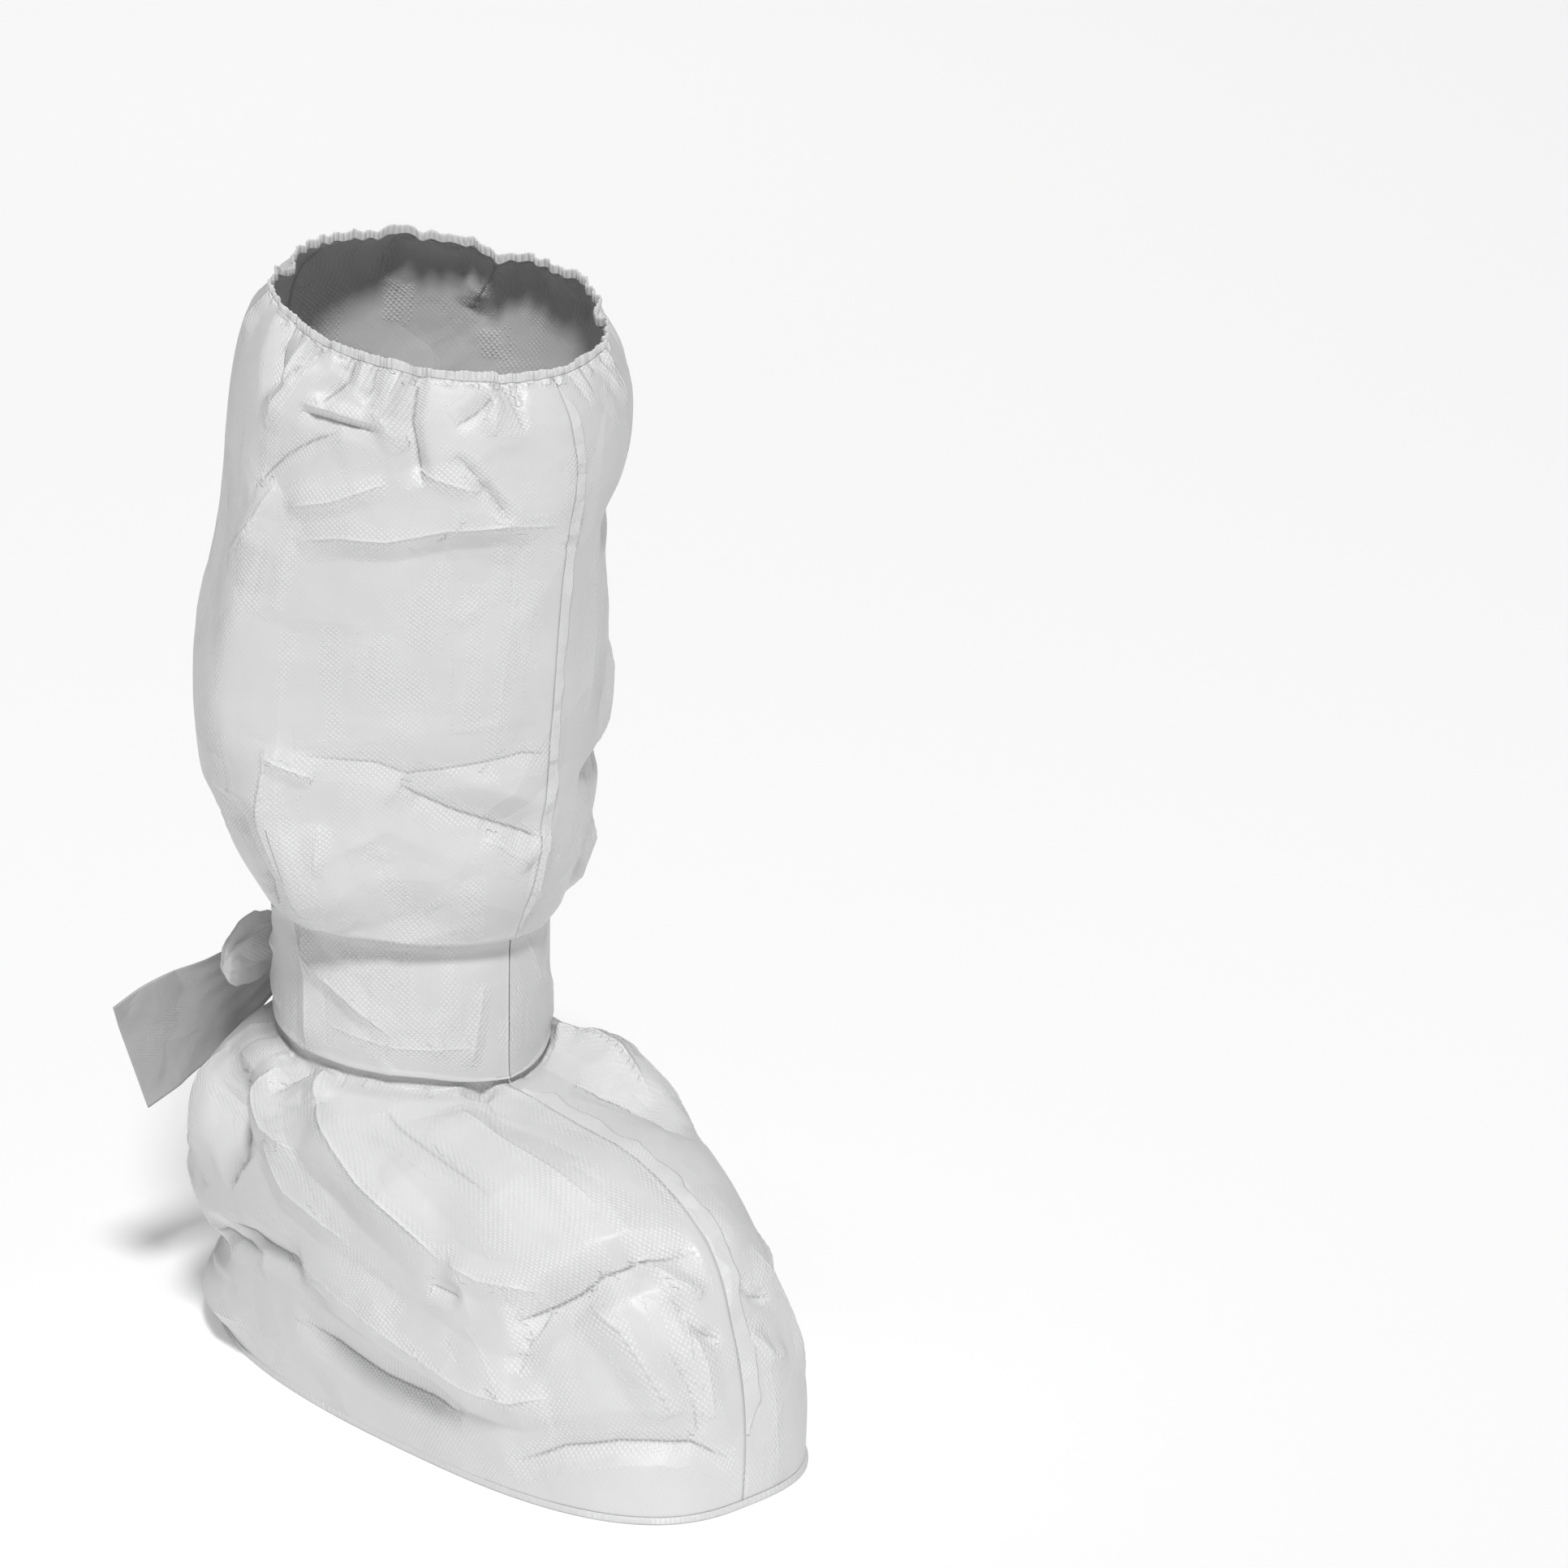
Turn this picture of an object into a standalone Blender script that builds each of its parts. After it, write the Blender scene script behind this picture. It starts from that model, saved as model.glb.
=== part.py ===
"""Disposable boot cover: two side panels that meet at the front seam and the back, a gathered
rim, a flat sole panel and a wide ankle tie knotted at the back.
Metres, +Z up, toe towards -Y, standing on its sole with the origin under the middle of its box."""
import math

import bmesh
import bpy
import numpy as np
from mathutils import Vector

# Driving sizes
FOOT_HEIGHT = 0.136
LEG_HEIGHT = 0.234
LEG_WIDTH = 0.180
LEG_DEPTH = 0.180
ANKLE_WIDTH = 0.114
ANKLE_DEPTH = 0.122
FOOT_LENGTH = 0.315
FOOT_WIDTH = 0.150
WALL = 0.0012
TIE_WIDTH = 0.063
TIE_THICKNESS = 0.0012
SEAM_WIDTH = 0.0065
SEAM_THICKNESS = 0.0012
SEAM_LEAN = 52.0
HEM_HEIGHT = 0.0070
HEM_THICKNESS = 0.0028
RUFFLES = 54
RUFFLE_DEPTH = 0.0010
GATHERS = 13
GATHER_DEPTH = 0.0012
SOLE_THICKNESS = 0.0018
SOLE_RIM = 0.0018
TAIL_LENGTH = 0.080
KNOT_LENGTH = 0.040
KNOT_HEIGHT = 0.034
KNOT_THICKNESS = 0.013
FOLD_DEPTH = 0.010
FOLD_WIDTH = 0.020
CLEARANCE = 0.0004
SIDES = 48

# Cross-sections from the rim down, as shares of the sizes of their zone.
# The lean is towards the near side, where the tail of the tie hangs.
SECTION_COLUMNS = ("name", "zone", "z_front", "z_back", "front", "back", "near", "far",
                   "widest", "near_power", "far_power", "back_power", "lean", "bands")
SECTIONS = (
    ("rim", "leg", 1.000, 1.128, 0.589, -0.144, 0.367, 0.383, 0.50, 1.90, 1.90, 1.90, 0.000, 3),
    ("under_rim", "leg", 0.927, 1.073, 0.644, -0.244, 0.422, 0.444, 0.50, 1.70, 1.80, 1.70, 0.000, 3),
    ("shoulder", "leg", 0.833, 0.966, 0.656, -0.300, 0.461, 0.456, 0.50, 1.60, 1.80, 1.60, 0.000, 3),
    ("upper", "leg", 0.645, 0.714, 0.611, -0.344, 0.489, 0.433, 0.50, 1.55, 1.60, 1.55, 0.000, 2),
    ("calf", "leg", 0.432, 0.453, 0.578, -0.428, 0.511, 0.489, 0.50, 1.55, 1.60, 1.55, 0.000, 3),
    ("low_calf", "leg", 0.252, 0.286, 0.550, -0.422, 0.500, 0.489, 0.50, 1.55, 1.60, 1.55, 0.000, 3),
    ("taper", "leg", 0.115, 0.158, 0.533, -0.311, 0.456, 0.456, 0.50, 1.60, 1.60, 1.60, 0.011, 3),
    ("lip", "leg", -0.008, 0.055, 0.506, -0.256, 0.378, 0.389, 0.50, 1.70, 1.70, 1.70, 0.022, 3),
    ("neck_top", "neck", 1.070, 1.190, 0.640, -0.361, 0.491, 0.509, 0.50, 1.80, 1.80, 1.80, 0.018, 4),
    ("neck_low", "neck", 0.000, 0.190, 0.630, -0.361, 0.491, 0.509, 0.50, 1.80, 1.80, 1.80, 0.018, 2),
    ("ankle", "foot", 0.959, 1.015, 0.273, -0.178, 0.427, 0.440, 0.50, 1.80, 1.80, 1.90, 0.013, 3),
    ("instep", "foot", 0.940, 0.843, 0.368, -0.254, 0.493, 0.507, 0.50, 1.90, 2.00, 2.00, 0.027, 2),
    ("vamp", "foot", 0.895, 0.634, 0.508, -0.286, 0.533, 0.493, 0.50, 2.00, 2.20, 2.10, 0.040, 2),
    ("toe_top", "foot", 0.738, 0.425, 0.638, -0.286, 0.533, 0.453, 0.52, 2.00, 2.30, 2.20, 0.067, 3),
    ("toe_front", "foot", 0.499, 0.282, 0.698, -0.254, 0.513, 0.467, 0.54, 2.20, 2.50, 2.30, 0.093, 3),
    ("toe_low", "foot", 0.230, 0.133, 0.724, -0.273, 0.480, 0.507, 0.55, 2.40, 2.80, 2.30, 0.107, 2),
    ("sole", "foot", 0.000, 0.000, 0.727, -0.273, 0.440, 0.487, 0.55, 2.70, 3.00, 2.30, 0.120, 0),
)

LAST_ROW = len(SECTIONS) - 1.0

# Zone: its length across the leg's axis, its width, and whether the tie lies over it
ZONE_SIZES = {
    "leg": (LEG_DEPTH, LEG_WIDTH, 0.0),
    "neck": (ANKLE_DEPTH, ANKLE_WIDTH, TIE_THICKNESS + 2 * CLEARANCE),
    "foot": (FOOT_LENGTH, FOOT_WIDTH, 0.0),
}

# Folds: the route as (degrees from the front seam towards the near side, section row),
# then height and width as shares of FOLD_DEPTH and FOLD_WIDTH, and whether the top end fades.
FOLD_COLUMNS = ("name", "route", "height", "width", "fades_at_top")
FOLDS = (
    ("front_pleat", ((49, 0.0), (49, 1.0), (44, 1.9)), -0.40, 0.55, False),
    ("near_pleat", ((71, 0.0), (72, 1.2)), -0.30, 0.50, False),
    ("near_back_pleat", ((104, 0.0), (92, 1.6)), -0.30, 0.60, False),
    ("back_pleat", ((150, 0.0), (156, 1.8)), -0.40, 0.60, False),
    ("far_pleat", ((-58, 0.0), (-52, 1.7)), -0.35, 0.60, False),
    ("far_back_pleat", ((-118, 0.0), (-126, 1.6)), -0.35, 0.60, False),
    ("shiny_ridge", ((84, 0.5), (92, 1.8)), 0.25, 0.70, True),
    ("shoulder_diagonal", ((70, 1.7), (80, 2.1), (96, 2.5)), -0.35, 0.70, True),
    ("near_ridge", ((84, 2.4), (106, 3.1)), 0.25, 0.60, True),
    ("shoulder_crease", ((70, 2.7), (37, 2.5), (4, 2.5)), 0.22, 0.90, True),
    ("near_corner", ((74, 3.0), (74, 5.6)), 0.35, 1.20, True),
    ("near_hollow", ((92, 5.0), (88, 6.5)), -0.45, 1.00, True),
    ("packing_crease", ((72, 4.5), (40, 4.6), (3, 4.5)), 0.20, 0.70, True),
    ("lower_crease", ((42, 4.7), (29, 5.0), (3, 5.5)), -0.45, 0.60, True),
    ("lower_ridge", ((22, 5.4), (5, 5.8)), 0.25, 0.60, True),
    ("far_corner", ((-62, 3.4), (-66, 4.4)), 0.40, 0.90, True),
    ("far_notch", ((-40, 4.9), (-80, 4.8)), -0.35, 0.70, True),
    ("back_fold", ((176, 2.2), (172, 5.5)), 0.35, 0.80, True),
    ("back_crease", ((-176, 3.6), (-120, 3.2)), -0.30, 0.80, True),
    ("heel_hollow", ((112, 10.4), (108, 11.2), (104, 12.1)), -0.90, 1.20, True),
    ("heel_puff", ((134, 10.6), (128, 12.5)), 0.35, 0.90, True),
    ("side_pleat", ((97, 10.0), (94, 11.2), (86, 11.8)), 0.25, 0.60, True),
    ("instep_ridge", ((74, 10.5), (72, 11.6), (64, 13.0)), 0.40, 0.80, True),
    ("heel_crease", ((118, 13.0), (96, 13.5)), -0.30, 0.70, True),
    ("side_fold", ((98, 13.4), (82, 14.1), (62, 14.6)), 0.40, 0.90, True),
    ("side_hollow", ((104, 14.5), (76, 15.0)), -0.30, 1.20, True),
    ("toe_valley", ((56, 13.7), (44, 13.4), (31, 13.1)), -0.60, 0.75, True),
    ("toe_shelf", ((31, 13.1), (8, 13.0)), -0.22, 0.70, True),
    ("toe_ridge", ((37, 13.5), (30, 13.9), (22, 14.7)), 0.30, 0.80, True),
    ("toe_arch", ((62, 15.4), (36, 15.0), (14, 15.05)), -0.30, 0.60, True),
    ("far_instep", ((-24, 10.6), (-34, 12.0)), -0.35, 0.90, True),
    ("far_side_fold", ((-60, 12.6), (-96, 13.6)), -0.45, 1.00, True),
    ("far_heel_fold", ((-118, 11.0), (-112, 12.6)), -0.45, 1.00, True),
)

# Row under the tie at which the leg of a panel ends and its foot starts
PANEL_JOIN = 8.5

# Tails of the tie, from the knot outwards: sideways, outwards and down as shares of
# TAIL_LENGTH, and the strip's width as a share of TIE_WIDTH.
TAIL_COLUMNS = ("sideways", "outwards", "down", "width")
NEAR_TAIL = (
    (0.02, 0.00, 0.00, 0.28),
    (0.12, 0.11, 0.01, 0.40),
    (0.24, 0.27, 0.20, 0.68),
    (0.40, 0.36, 0.38, 0.78),
    (0.61, 0.37, 0.47, 0.80),
    (0.84, 0.36, 0.57, 0.80),
)
FAR_TAIL = (
    (0.02, 0.00, 0.00, 0.28),
    (0.12, 0.10, 0.01, 0.38),
    (0.26, 0.26, 0.08, 0.58),
    (0.40, 0.33, 0.18, 0.72),
    (0.58, 0.35, 0.28, 0.78),
)

# Knot: sections from the far side to the near side of the anchor on the back of the tie,
# as shares of the knot's length, height, thickness and again height
KNOT_COLUMNS = ("along", "height", "thickness", "lift")
KNOT_SECTIONS = (
    (-0.26, 0.34, 0.40, 0.00),
    (-0.10, 0.60, 0.70, 0.00),
    (0.22, 0.80, 0.86, 0.00),
    (0.55, 1.00, 1.00, 0.02),
    (0.80, 0.92, 0.90, 0.00),
    (1.00, 0.55, 0.50, -0.06),
)
KNOT_SIDES = 10


def zone_height(zone, share):
    """Height of a share of a zone: the foot starts above the sole, then neck, then leg."""
    floor = SOLE_THICKNESS + CLEARANCE
    if zone == "foot":
        return floor + share * (FOOT_HEIGHT - floor)
    if zone == "neck":
        return FOOT_HEIGHT + share * TIE_WIDTH
    return FOOT_HEIGHT + TIE_WIDTH + share * LEG_HEIGHT


def section_sizes():
    """One row of real sizes for each section."""
    rows = []
    for values in SECTIONS:
        s = dict(zip(SECTION_COLUMNS, values))
        depth, width, inset = ZONE_SIZES[s["zone"]]
        rows.append((
            zone_height(s["zone"], s["z_front"]), zone_height(s["zone"], s["z_back"]),
            s["front"] * depth - inset, s["back"] * depth + inset,
            s["near"] * width - inset, s["far"] * width - inset,
            s["widest"], s["near_power"], s["far_power"], s["back_power"], s["lean"] * width))
    return np.array(rows)


def smooth_rows(table, rows):
    """Cubic curve through the section rows."""
    last = len(table) - 1
    low = np.clip(np.floor(rows).astype(int), 0, last - 1)
    f = (rows - low)[:, None]
    p0 = table[np.clip(low - 1, 0, last)]
    p1 = table[low]
    p2 = table[np.clip(low + 1, 0, last)]
    p3 = table[np.clip(low + 2, 0, last)]
    slope1 = (p2 - p0) / 2
    slope2 = (p3 - p1) / 2
    return ((2 * f**3 - 3 * f**2 + 1) * p1 + (f**3 - 2 * f**2 + f) * slope1
            + (3 * f**2 - 2 * f**3) * p2 + (f**3 - f**2) * slope2)


def base_surface(rows, angles):
    """Points of the unfolded cover at paired rows and angles (degrees)."""
    rows = np.asarray(rows, float)
    size = smooth_rows(section_sizes(), rows)
    (z_front, z_back, front, back, near, far, widest,
     near_power, far_power, back_power, lean) = size.T
    a = np.radians(np.asarray(angles, float))
    ahead = np.cos(a)
    aside = np.sin(a)
    power = np.where(ahead >= 0, np.where(aside >= 0, near_power, far_power), back_power)
    along = np.sign(ahead) * np.abs(ahead) ** (2 / power)
    across = np.sign(aside) * np.abs(aside) ** (2 / power)
    share = widest + along * np.where(along >= 0, 1 - widest, widest)
    forward = back + share * (front - back)
    z = z_back + share * (z_front - z_back)
    x = -across * np.where(aside >= 0, near, far) - lean * share
    return np.stack([x, -forward, z], axis=-1)


def base_normals(rows, angles):
    """Outward unit normals of the unfolded cover."""
    rows = np.asarray(rows, float)
    angles = np.asarray(angles, float)
    around = base_surface(rows, angles + 1.5) - base_surface(rows, angles - 1.5)
    down = (base_surface(np.minimum(rows + 0.06, LAST_ROW), angles)
            - base_surface(np.maximum(rows - 0.06, 0), angles))
    normals = np.cross(around, down)
    return normals / np.linalg.norm(normals, axis=-1, keepdims=True)


def fold_heights(points, rows):
    """Height of all folds together at points of the unfolded cover."""
    total = np.zeros(len(points))
    for values in FOLDS:
        fold = dict(zip(FOLD_COLUMNS, values))
        route = np.array(fold["route"], float)
        steps = np.linspace(0, len(route) - 1, 8 * (len(route) - 1) + 1)
        path_angles = np.interp(steps, range(len(route)), route[:, 0])
        path_rows = np.interp(steps, range(len(route)), route[:, 1])
        path = base_surface(path_rows, path_angles)
        gaps = np.linalg.norm(points[:, None, :] - path[None, :, :], axis=2)
        nearest = gaps.argmin(axis=1)
        reach = np.clip(gaps.min(axis=1) / (fold["width"] * FOLD_WIDTH), 0, 1)
        place = nearest / (len(path) - 1)
        end = np.clip((1 - place) / 0.35, 0, 1)
        if fold["fades_at_top"]:
            end = np.minimum(end, np.clip(place / 0.35, 0, 1))
        same_wall = np.abs(rows - path_rows[nearest]) < 1.6
        total += fold["height"] * FOLD_DEPTH * (1 - reach**2) ** 2 * np.sqrt(end) * same_wall
    return total


def cover_points(rows, angles, offset=0.0):
    """Points of the folded cover, moved out by the offset."""
    rows = np.asarray(rows, float)
    angles = np.asarray(angles, float)
    points = base_surface(rows, angles)
    gather = GATHER_DEPTH * np.cos(np.radians(angles) * GATHERS) * np.clip(1 - rows / 1.6, 0, 1)
    on_neck = np.clip(np.minimum(rows - 7.4, 9.6 - rows) / 0.4, 0, 1)
    height = (fold_heights(points, rows) + gather) * (1 - on_neck)
    return points + base_normals(rows, angles) * (height + offset)[:, None]


def cover_grid(rows, angles, offset=0.0):
    """Grid of cover points as [row, angle, xyz]."""
    row_grid, angle_grid = np.meshgrid(rows, angles, indexing="ij")
    points = cover_points(row_grid.ravel(), angle_grid.ravel(), offset)
    return points.reshape(len(rows), len(angles), 3)


def row_stations():
    """Rows at which the cover is meshed."""
    stations = []
    for number, values in enumerate(SECTIONS):
        bands = values[-1]
        stations.extend(number + step / bands for step in range(bands))
    stations.append(LAST_ROW)
    return np.array(stations, float)


def angle_stations():
    """Angles at which the cover is meshed."""
    return np.arange(SIDES) * 360.0 / SIDES - 180.0


def side_angles(side):
    """Angles of one side's panel, from the front seam to the back, or back to front."""
    angles = np.linspace(0.0, 180.0, SIDES // 2 + 1)
    return angles if side > 0 else -angles[::-1]


def make_object(name, mesh_data, collection, material):
    """Object from a bmesh, with its material, in the collection."""
    mesh = bpy.data.meshes.new(name)
    mesh_data.to_mesh(mesh)
    mesh_data.free()
    mesh.materials.append(material)
    made = bpy.data.objects.new(name, mesh)
    collection.objects.link(made)
    return made


def sheet_mesh(grid):
    """Open sheet through a grid of points, its faces turned outwards."""
    rows, columns, _ = grid.shape
    made = bmesh.new()
    verts = [[made.verts.new(grid[i, j]) for j in range(columns)] for i in range(rows)]
    for i in range(rows - 1):
        for j in range(columns - 1):
            made.faces.new((verts[i][j], verts[i][j + 1], verts[i + 1][j + 1], verts[i + 1][j]))
    return made


def wall_mesh(outer, inner):
    """Closed wall between an outer and an inner grid of the same shape."""
    rows, columns, _ = outer.shape
    made = bmesh.new()
    out = [[made.verts.new(outer[i, j]) for j in range(columns)] for i in range(rows)]
    back = [[made.verts.new(inner[i, j]) for j in range(columns)] for i in range(rows)]
    for i in range(rows - 1):
        for j in range(columns - 1):
            made.faces.new((out[i][j], out[i][j + 1], out[i + 1][j + 1], out[i + 1][j]))
            made.faces.new((back[i][j], back[i + 1][j], back[i + 1][j + 1], back[i][j + 1]))
    for i in range(rows - 1):
        made.faces.new((out[i][0], out[i + 1][0], back[i + 1][0], back[i][0]))
        made.faces.new((out[i + 1][-1], out[i][-1], back[i][-1], back[i + 1][-1]))
    for j in range(columns - 1):
        made.faces.new((out[0][j + 1], out[0][j], back[0][j], back[0][j + 1]))
        made.faces.new((out[-1][j], out[-1][j + 1], back[-1][j + 1], back[-1][j]))
    bmesh.ops.recalc_face_normals(made, faces=made.faces)
    return made


def tube_mesh(rings, closed_along):
    """Solid through a run of equal rings, capped unless it closes on itself."""
    made = bmesh.new()
    verts = [[made.verts.new(point) for point in ring] for ring in rings]
    count = len(verts)
    sides = len(verts[0])
    for i in range(count if closed_along else count - 1):
        for j in range(sides):
            a = verts[i]
            b = verts[(i + 1) % count]
            k = (j + 1) % sides
            made.faces.new((a[j], a[k], b[k], b[j]))
    if not closed_along:
        made.faces.new(verts[0][::-1])
        made.faces.new(verts[-1])
    bmesh.ops.recalc_face_normals(made, faces=made.faces)
    return made


def thicken(made, thickness):
    """Wall that grows inwards from the sheet."""
    wall = made.modifiers.new("wall", "SOLIDIFY")
    wall.thickness = thickness
    wall.offset = -1.0
    wall.use_even_offset = False
    return made


def cloth_material(name, colour, roughness):
    """Laminated nonwoven in one flat colour."""
    material = bpy.data.materials.new(name)
    material.use_nodes = True
    shader = material.node_tree.nodes["Principled BSDF"]
    shader.inputs["Base Color"].default_value = (*colour, 1.0)
    shader.inputs["Roughness"].default_value = roughness
    shader.inputs["Metallic"].default_value = 0.0
    return material


def build_panel(name, side, first_row, last_row, collection, material):
    """Leg or foot half of one side's panel, with half a clearance to its neighbours."""
    rows = row_stations()
    rows = rows[(rows >= first_row) & (rows <= last_row)]
    walls = []
    for offset in (0.0, -WALL):
        grid = cover_grid(rows, side_angles(side), offset)
        grid[:, [0, -1], 0] -= side * CLEARANCE / 2
        if first_row == PANEL_JOIN:
            grid[0, :, 2] -= CLEARANCE / 2
        if last_row == PANEL_JOIN:
            grid[-1, :, 2] += CLEARANCE / 2
        walls.append(grid)
    return make_object(name, wall_mesh(*walls), collection, material)


def build_seam(name, first_row, last_row, collection, material):
    """Folded seam allowance that stands off the front line and leans to the far side."""
    rows = row_stations()
    rows = rows[(rows >= first_row) & (rows <= last_row)]
    zero = np.zeros(len(rows))
    line = cover_points(rows, zero)
    normals = base_normals(rows, zero)
    lean = math.radians(SEAM_LEAN)
    aside = np.array([1.0, 0.0, 0.0])
    half = SEAM_THICKNESS / 2
    rings = []
    for number, (point, normal) in enumerate(zip(line, normals)):
        at_end = number in (0, len(rows) - 1)
        width = SEAM_WIDTH * (0.5 if at_end else 1.0)
        up = math.cos(lean) * normal + math.sin(lean) * aside
        side = -math.sin(lean) * normal + math.cos(lean) * aside
        root = point + normal * (CLEARANCE + half * math.sin(lean))
        tip = root + up * width
        rings.append([root - side * half, root + side * half, tip + side * half, tip - side * half])
    return make_object(name, tube_mesh(rings, False), collection, material)


def build_hem(collection):
    """Gathered elastic hem that stands on the rim."""
    count = 2 * RUFFLES
    angles = np.arange(count) * 360.0 / count
    rim = cover_points(np.zeros(count), angles)
    edge_angles = np.append(angle_stations(), 180.0) + 180.0
    edge = cover_points(np.zeros(len(edge_angles)), edge_angles - 180.0)
    edge_height = np.interp((angles + 180.0) % 360.0, edge_angles, edge[:, 2])
    rim[:, 2] = np.maximum(rim[:, 2], edge_height)
    normals = base_normals(np.zeros(count), angles)
    normals[:, 2] = 0
    normals /= np.linalg.norm(normals, axis=1, keepdims=True)
    rings = []
    for number in range(count):
        ruffle = RUFFLE_DEPTH * (1 if number % 2 else -1)
        bottom = rim[number] + np.array([0, 0, CLEARANCE])
        top = bottom + np.array([0, 0, HEM_HEIGHT])
        out = normals[number]
        half = out * HEM_THICKNESS / 2
        centre_low = out * (0.3 * ruffle - WALL / 2)
        centre_high = out * (ruffle - WALL / 2)
        rings.append([bottom + centre_low - half, bottom + centre_low + half,
                      top + centre_high + half * 0.8, top + centre_high - half * 0.8])
    material = cloth_material("gathered_hem", (0.84, 0.84, 0.85), 0.5)
    return make_object("elastic_hem", tube_mesh(rings, True), collection, material)


def build_sole(collection):
    """Flat sole panel, a little wider than the shell that stands on it."""
    angles = angle_stations()
    outline = cover_points(np.full(SIDES, LAST_ROW), angles)
    out = base_normals(np.full(SIDES, LAST_ROW), angles)
    out[:, 2] = 0
    out /= np.linalg.norm(out, axis=1, keepdims=True)
    outline += out * SOLE_RIM
    outline[:, 2] = SOLE_THICKNESS
    made = bmesh.new()
    made.faces.new([made.verts.new(point) for point in outline])
    bmesh.ops.recalc_face_normals(made, faces=made.faces)
    for face in made.faces:
        if face.normal.z < 0:
            face.normal_flip()
    material = cloth_material("sole_laminate", (0.80, 0.80, 0.81), 0.5)
    return thicken(make_object("sole_panel", made, collection, material), SOLE_THICKNESS)


def tie_rows(angle):
    """Top and bottom rows of the tie: full width at the front, gathered at the back."""
    back = np.clip((abs(angle) - 95.0) / 75.0, 0, 1) ** 1.5
    return 8.08 + 0.40 * back, 8.92 - 0.08 * back


def build_tie(name, side, collection, material):
    """Half of the ankle tie, from the front seam to the knot at the back."""
    step = 360.0 / SIDES
    inner = [k * step for k in range(1, int(174.0 / step) + 1)]
    angles = np.array([0.7] + inner + [177.0])
    strips = []
    for share in np.linspace(0, 1, 5):
        rows = []
        for angle in angles:
            top, bottom = tie_rows(angle)
            rows.append(top + share * (bottom - top))
        strips.append(cover_points(np.array(rows), side * angles, 2 * CLEARANCE + TIE_THICKNESS))
    grid = np.array(strips)
    if side < 0:
        grid = grid[:, ::-1]
    return thicken(make_object(name, sheet_mesh(grid), collection, material), TIE_THICKNESS)


def knot_anchor():
    """Place on the back of the tie against which the knot lies."""
    top, bottom = tie_rows(180.0)
    offset = 3 * CLEARANCE + TIE_THICKNESS
    return cover_points(np.array([(top + bottom) / 2]), np.array([180.0]), offset)[0]


def knot_thickness(along):
    """Thickness of the knot at a place along it."""
    places = [values[KNOT_COLUMNS.index("along")] for values in KNOT_SECTIONS]
    shares = [values[KNOT_COLUMNS.index("thickness")] for values in KNOT_SECTIONS]
    return KNOT_THICKNESS * float(np.interp(along, places, shares))


def tail_route(table, side):
    """Centre points and widths of a tail, which starts on the knot's outer face."""
    root = side * table[0][TAIL_COLUMNS.index("sideways")] * TAIL_LENGTH
    start = knot_anchor()
    start[1] += knot_thickness(root / KNOT_LENGTH) + 1.5 * CLEARANCE + TIE_THICKNESS / 2
    centres = []
    widths = []
    for values in table:
        row = dict(zip(TAIL_COLUMNS, values))
        centres.append((start[0] - side * row["sideways"] * TAIL_LENGTH,
                        start[1] + row["outwards"] * TAIL_LENGTH,
                        start[2] - row["down"] * TAIL_LENGTH))
        widths.append(row["width"] * TIE_WIDTH)
    return np.array(centres), np.array(widths)


def plan_normals(centres, side):
    """Horizontal normals of a tail's route, turned away from the leg."""
    run = np.gradient(centres, axis=0)
    normals = np.stack([run[:, 1], -run[:, 0], np.zeros(len(run))], axis=-1)
    normals /= np.linalg.norm(normals, axis=1, keepdims=True)
    return normals * (1 if side > 0 else -1)


def build_tail(name, table, side, collection, material):
    """Free end of the tie, an upright strip that droops from the knot."""
    centres, widths = tail_route(table, side)
    runs = np.gradient(centres, axis=0)
    normals = plan_normals(centres, side)
    rings = []
    for centre, run, width, out in zip(centres, runs, widths, normals):
        run = run / np.linalg.norm(run)
        up = np.array([0.0, 0.0, 1.0]) - run[2] * run
        up /= np.linalg.norm(up)
        half = out * TIE_THICKNESS / 2
        rings.append([centre + up * width / 2 - half, centre + up * width / 2 + half,
                      centre - up * width / 2 + half, centre - up * width / 2 - half])
    return make_object(name, tube_mesh(rings, False), collection, material)


def build_knot(collection, material):
    """Puffed loop of the knot, flat against the back of the tie."""
    anchor = knot_anchor()
    rings = []
    for values in KNOT_SECTIONS:
        row = dict(zip(KNOT_COLUMNS, values))
        half_thick = row["thickness"] * KNOT_THICKNESS / 2
        half_high = row["height"] * KNOT_HEIGHT / 2
        middle = anchor + np.array([-row["along"] * KNOT_LENGTH, half_thick, row["lift"] * KNOT_HEIGHT])
        ring = []
        for step in range(KNOT_SIDES):
            turn = 2 * math.pi * step / KNOT_SIDES
            ring.append(middle + np.array([0.0, math.cos(turn) * half_thick, math.sin(turn) * half_high]))
        rings.append(ring)
    return make_object("tie_knot", tube_mesh(rings, False), collection, material)


def centre_on_origin(objects):
    """Move the meshes so that the middle of the box's underside is the origin."""
    bpy.context.view_layer.update()
    corners = []
    for made in objects:
        corners.extend(vertex.co for vertex in made.data.vertices)
    low = Vector(min(c[axis] for c in corners) for axis in range(3))
    high = Vector(max(c[axis] for c in corners) for axis in range(3))
    shift = Vector((-(low.x + high.x) / 2, -(low.y + high.y) / 2, 0.0))
    for made in objects:
        for vertex in made.data.vertices:
            vertex.co += shift


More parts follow.
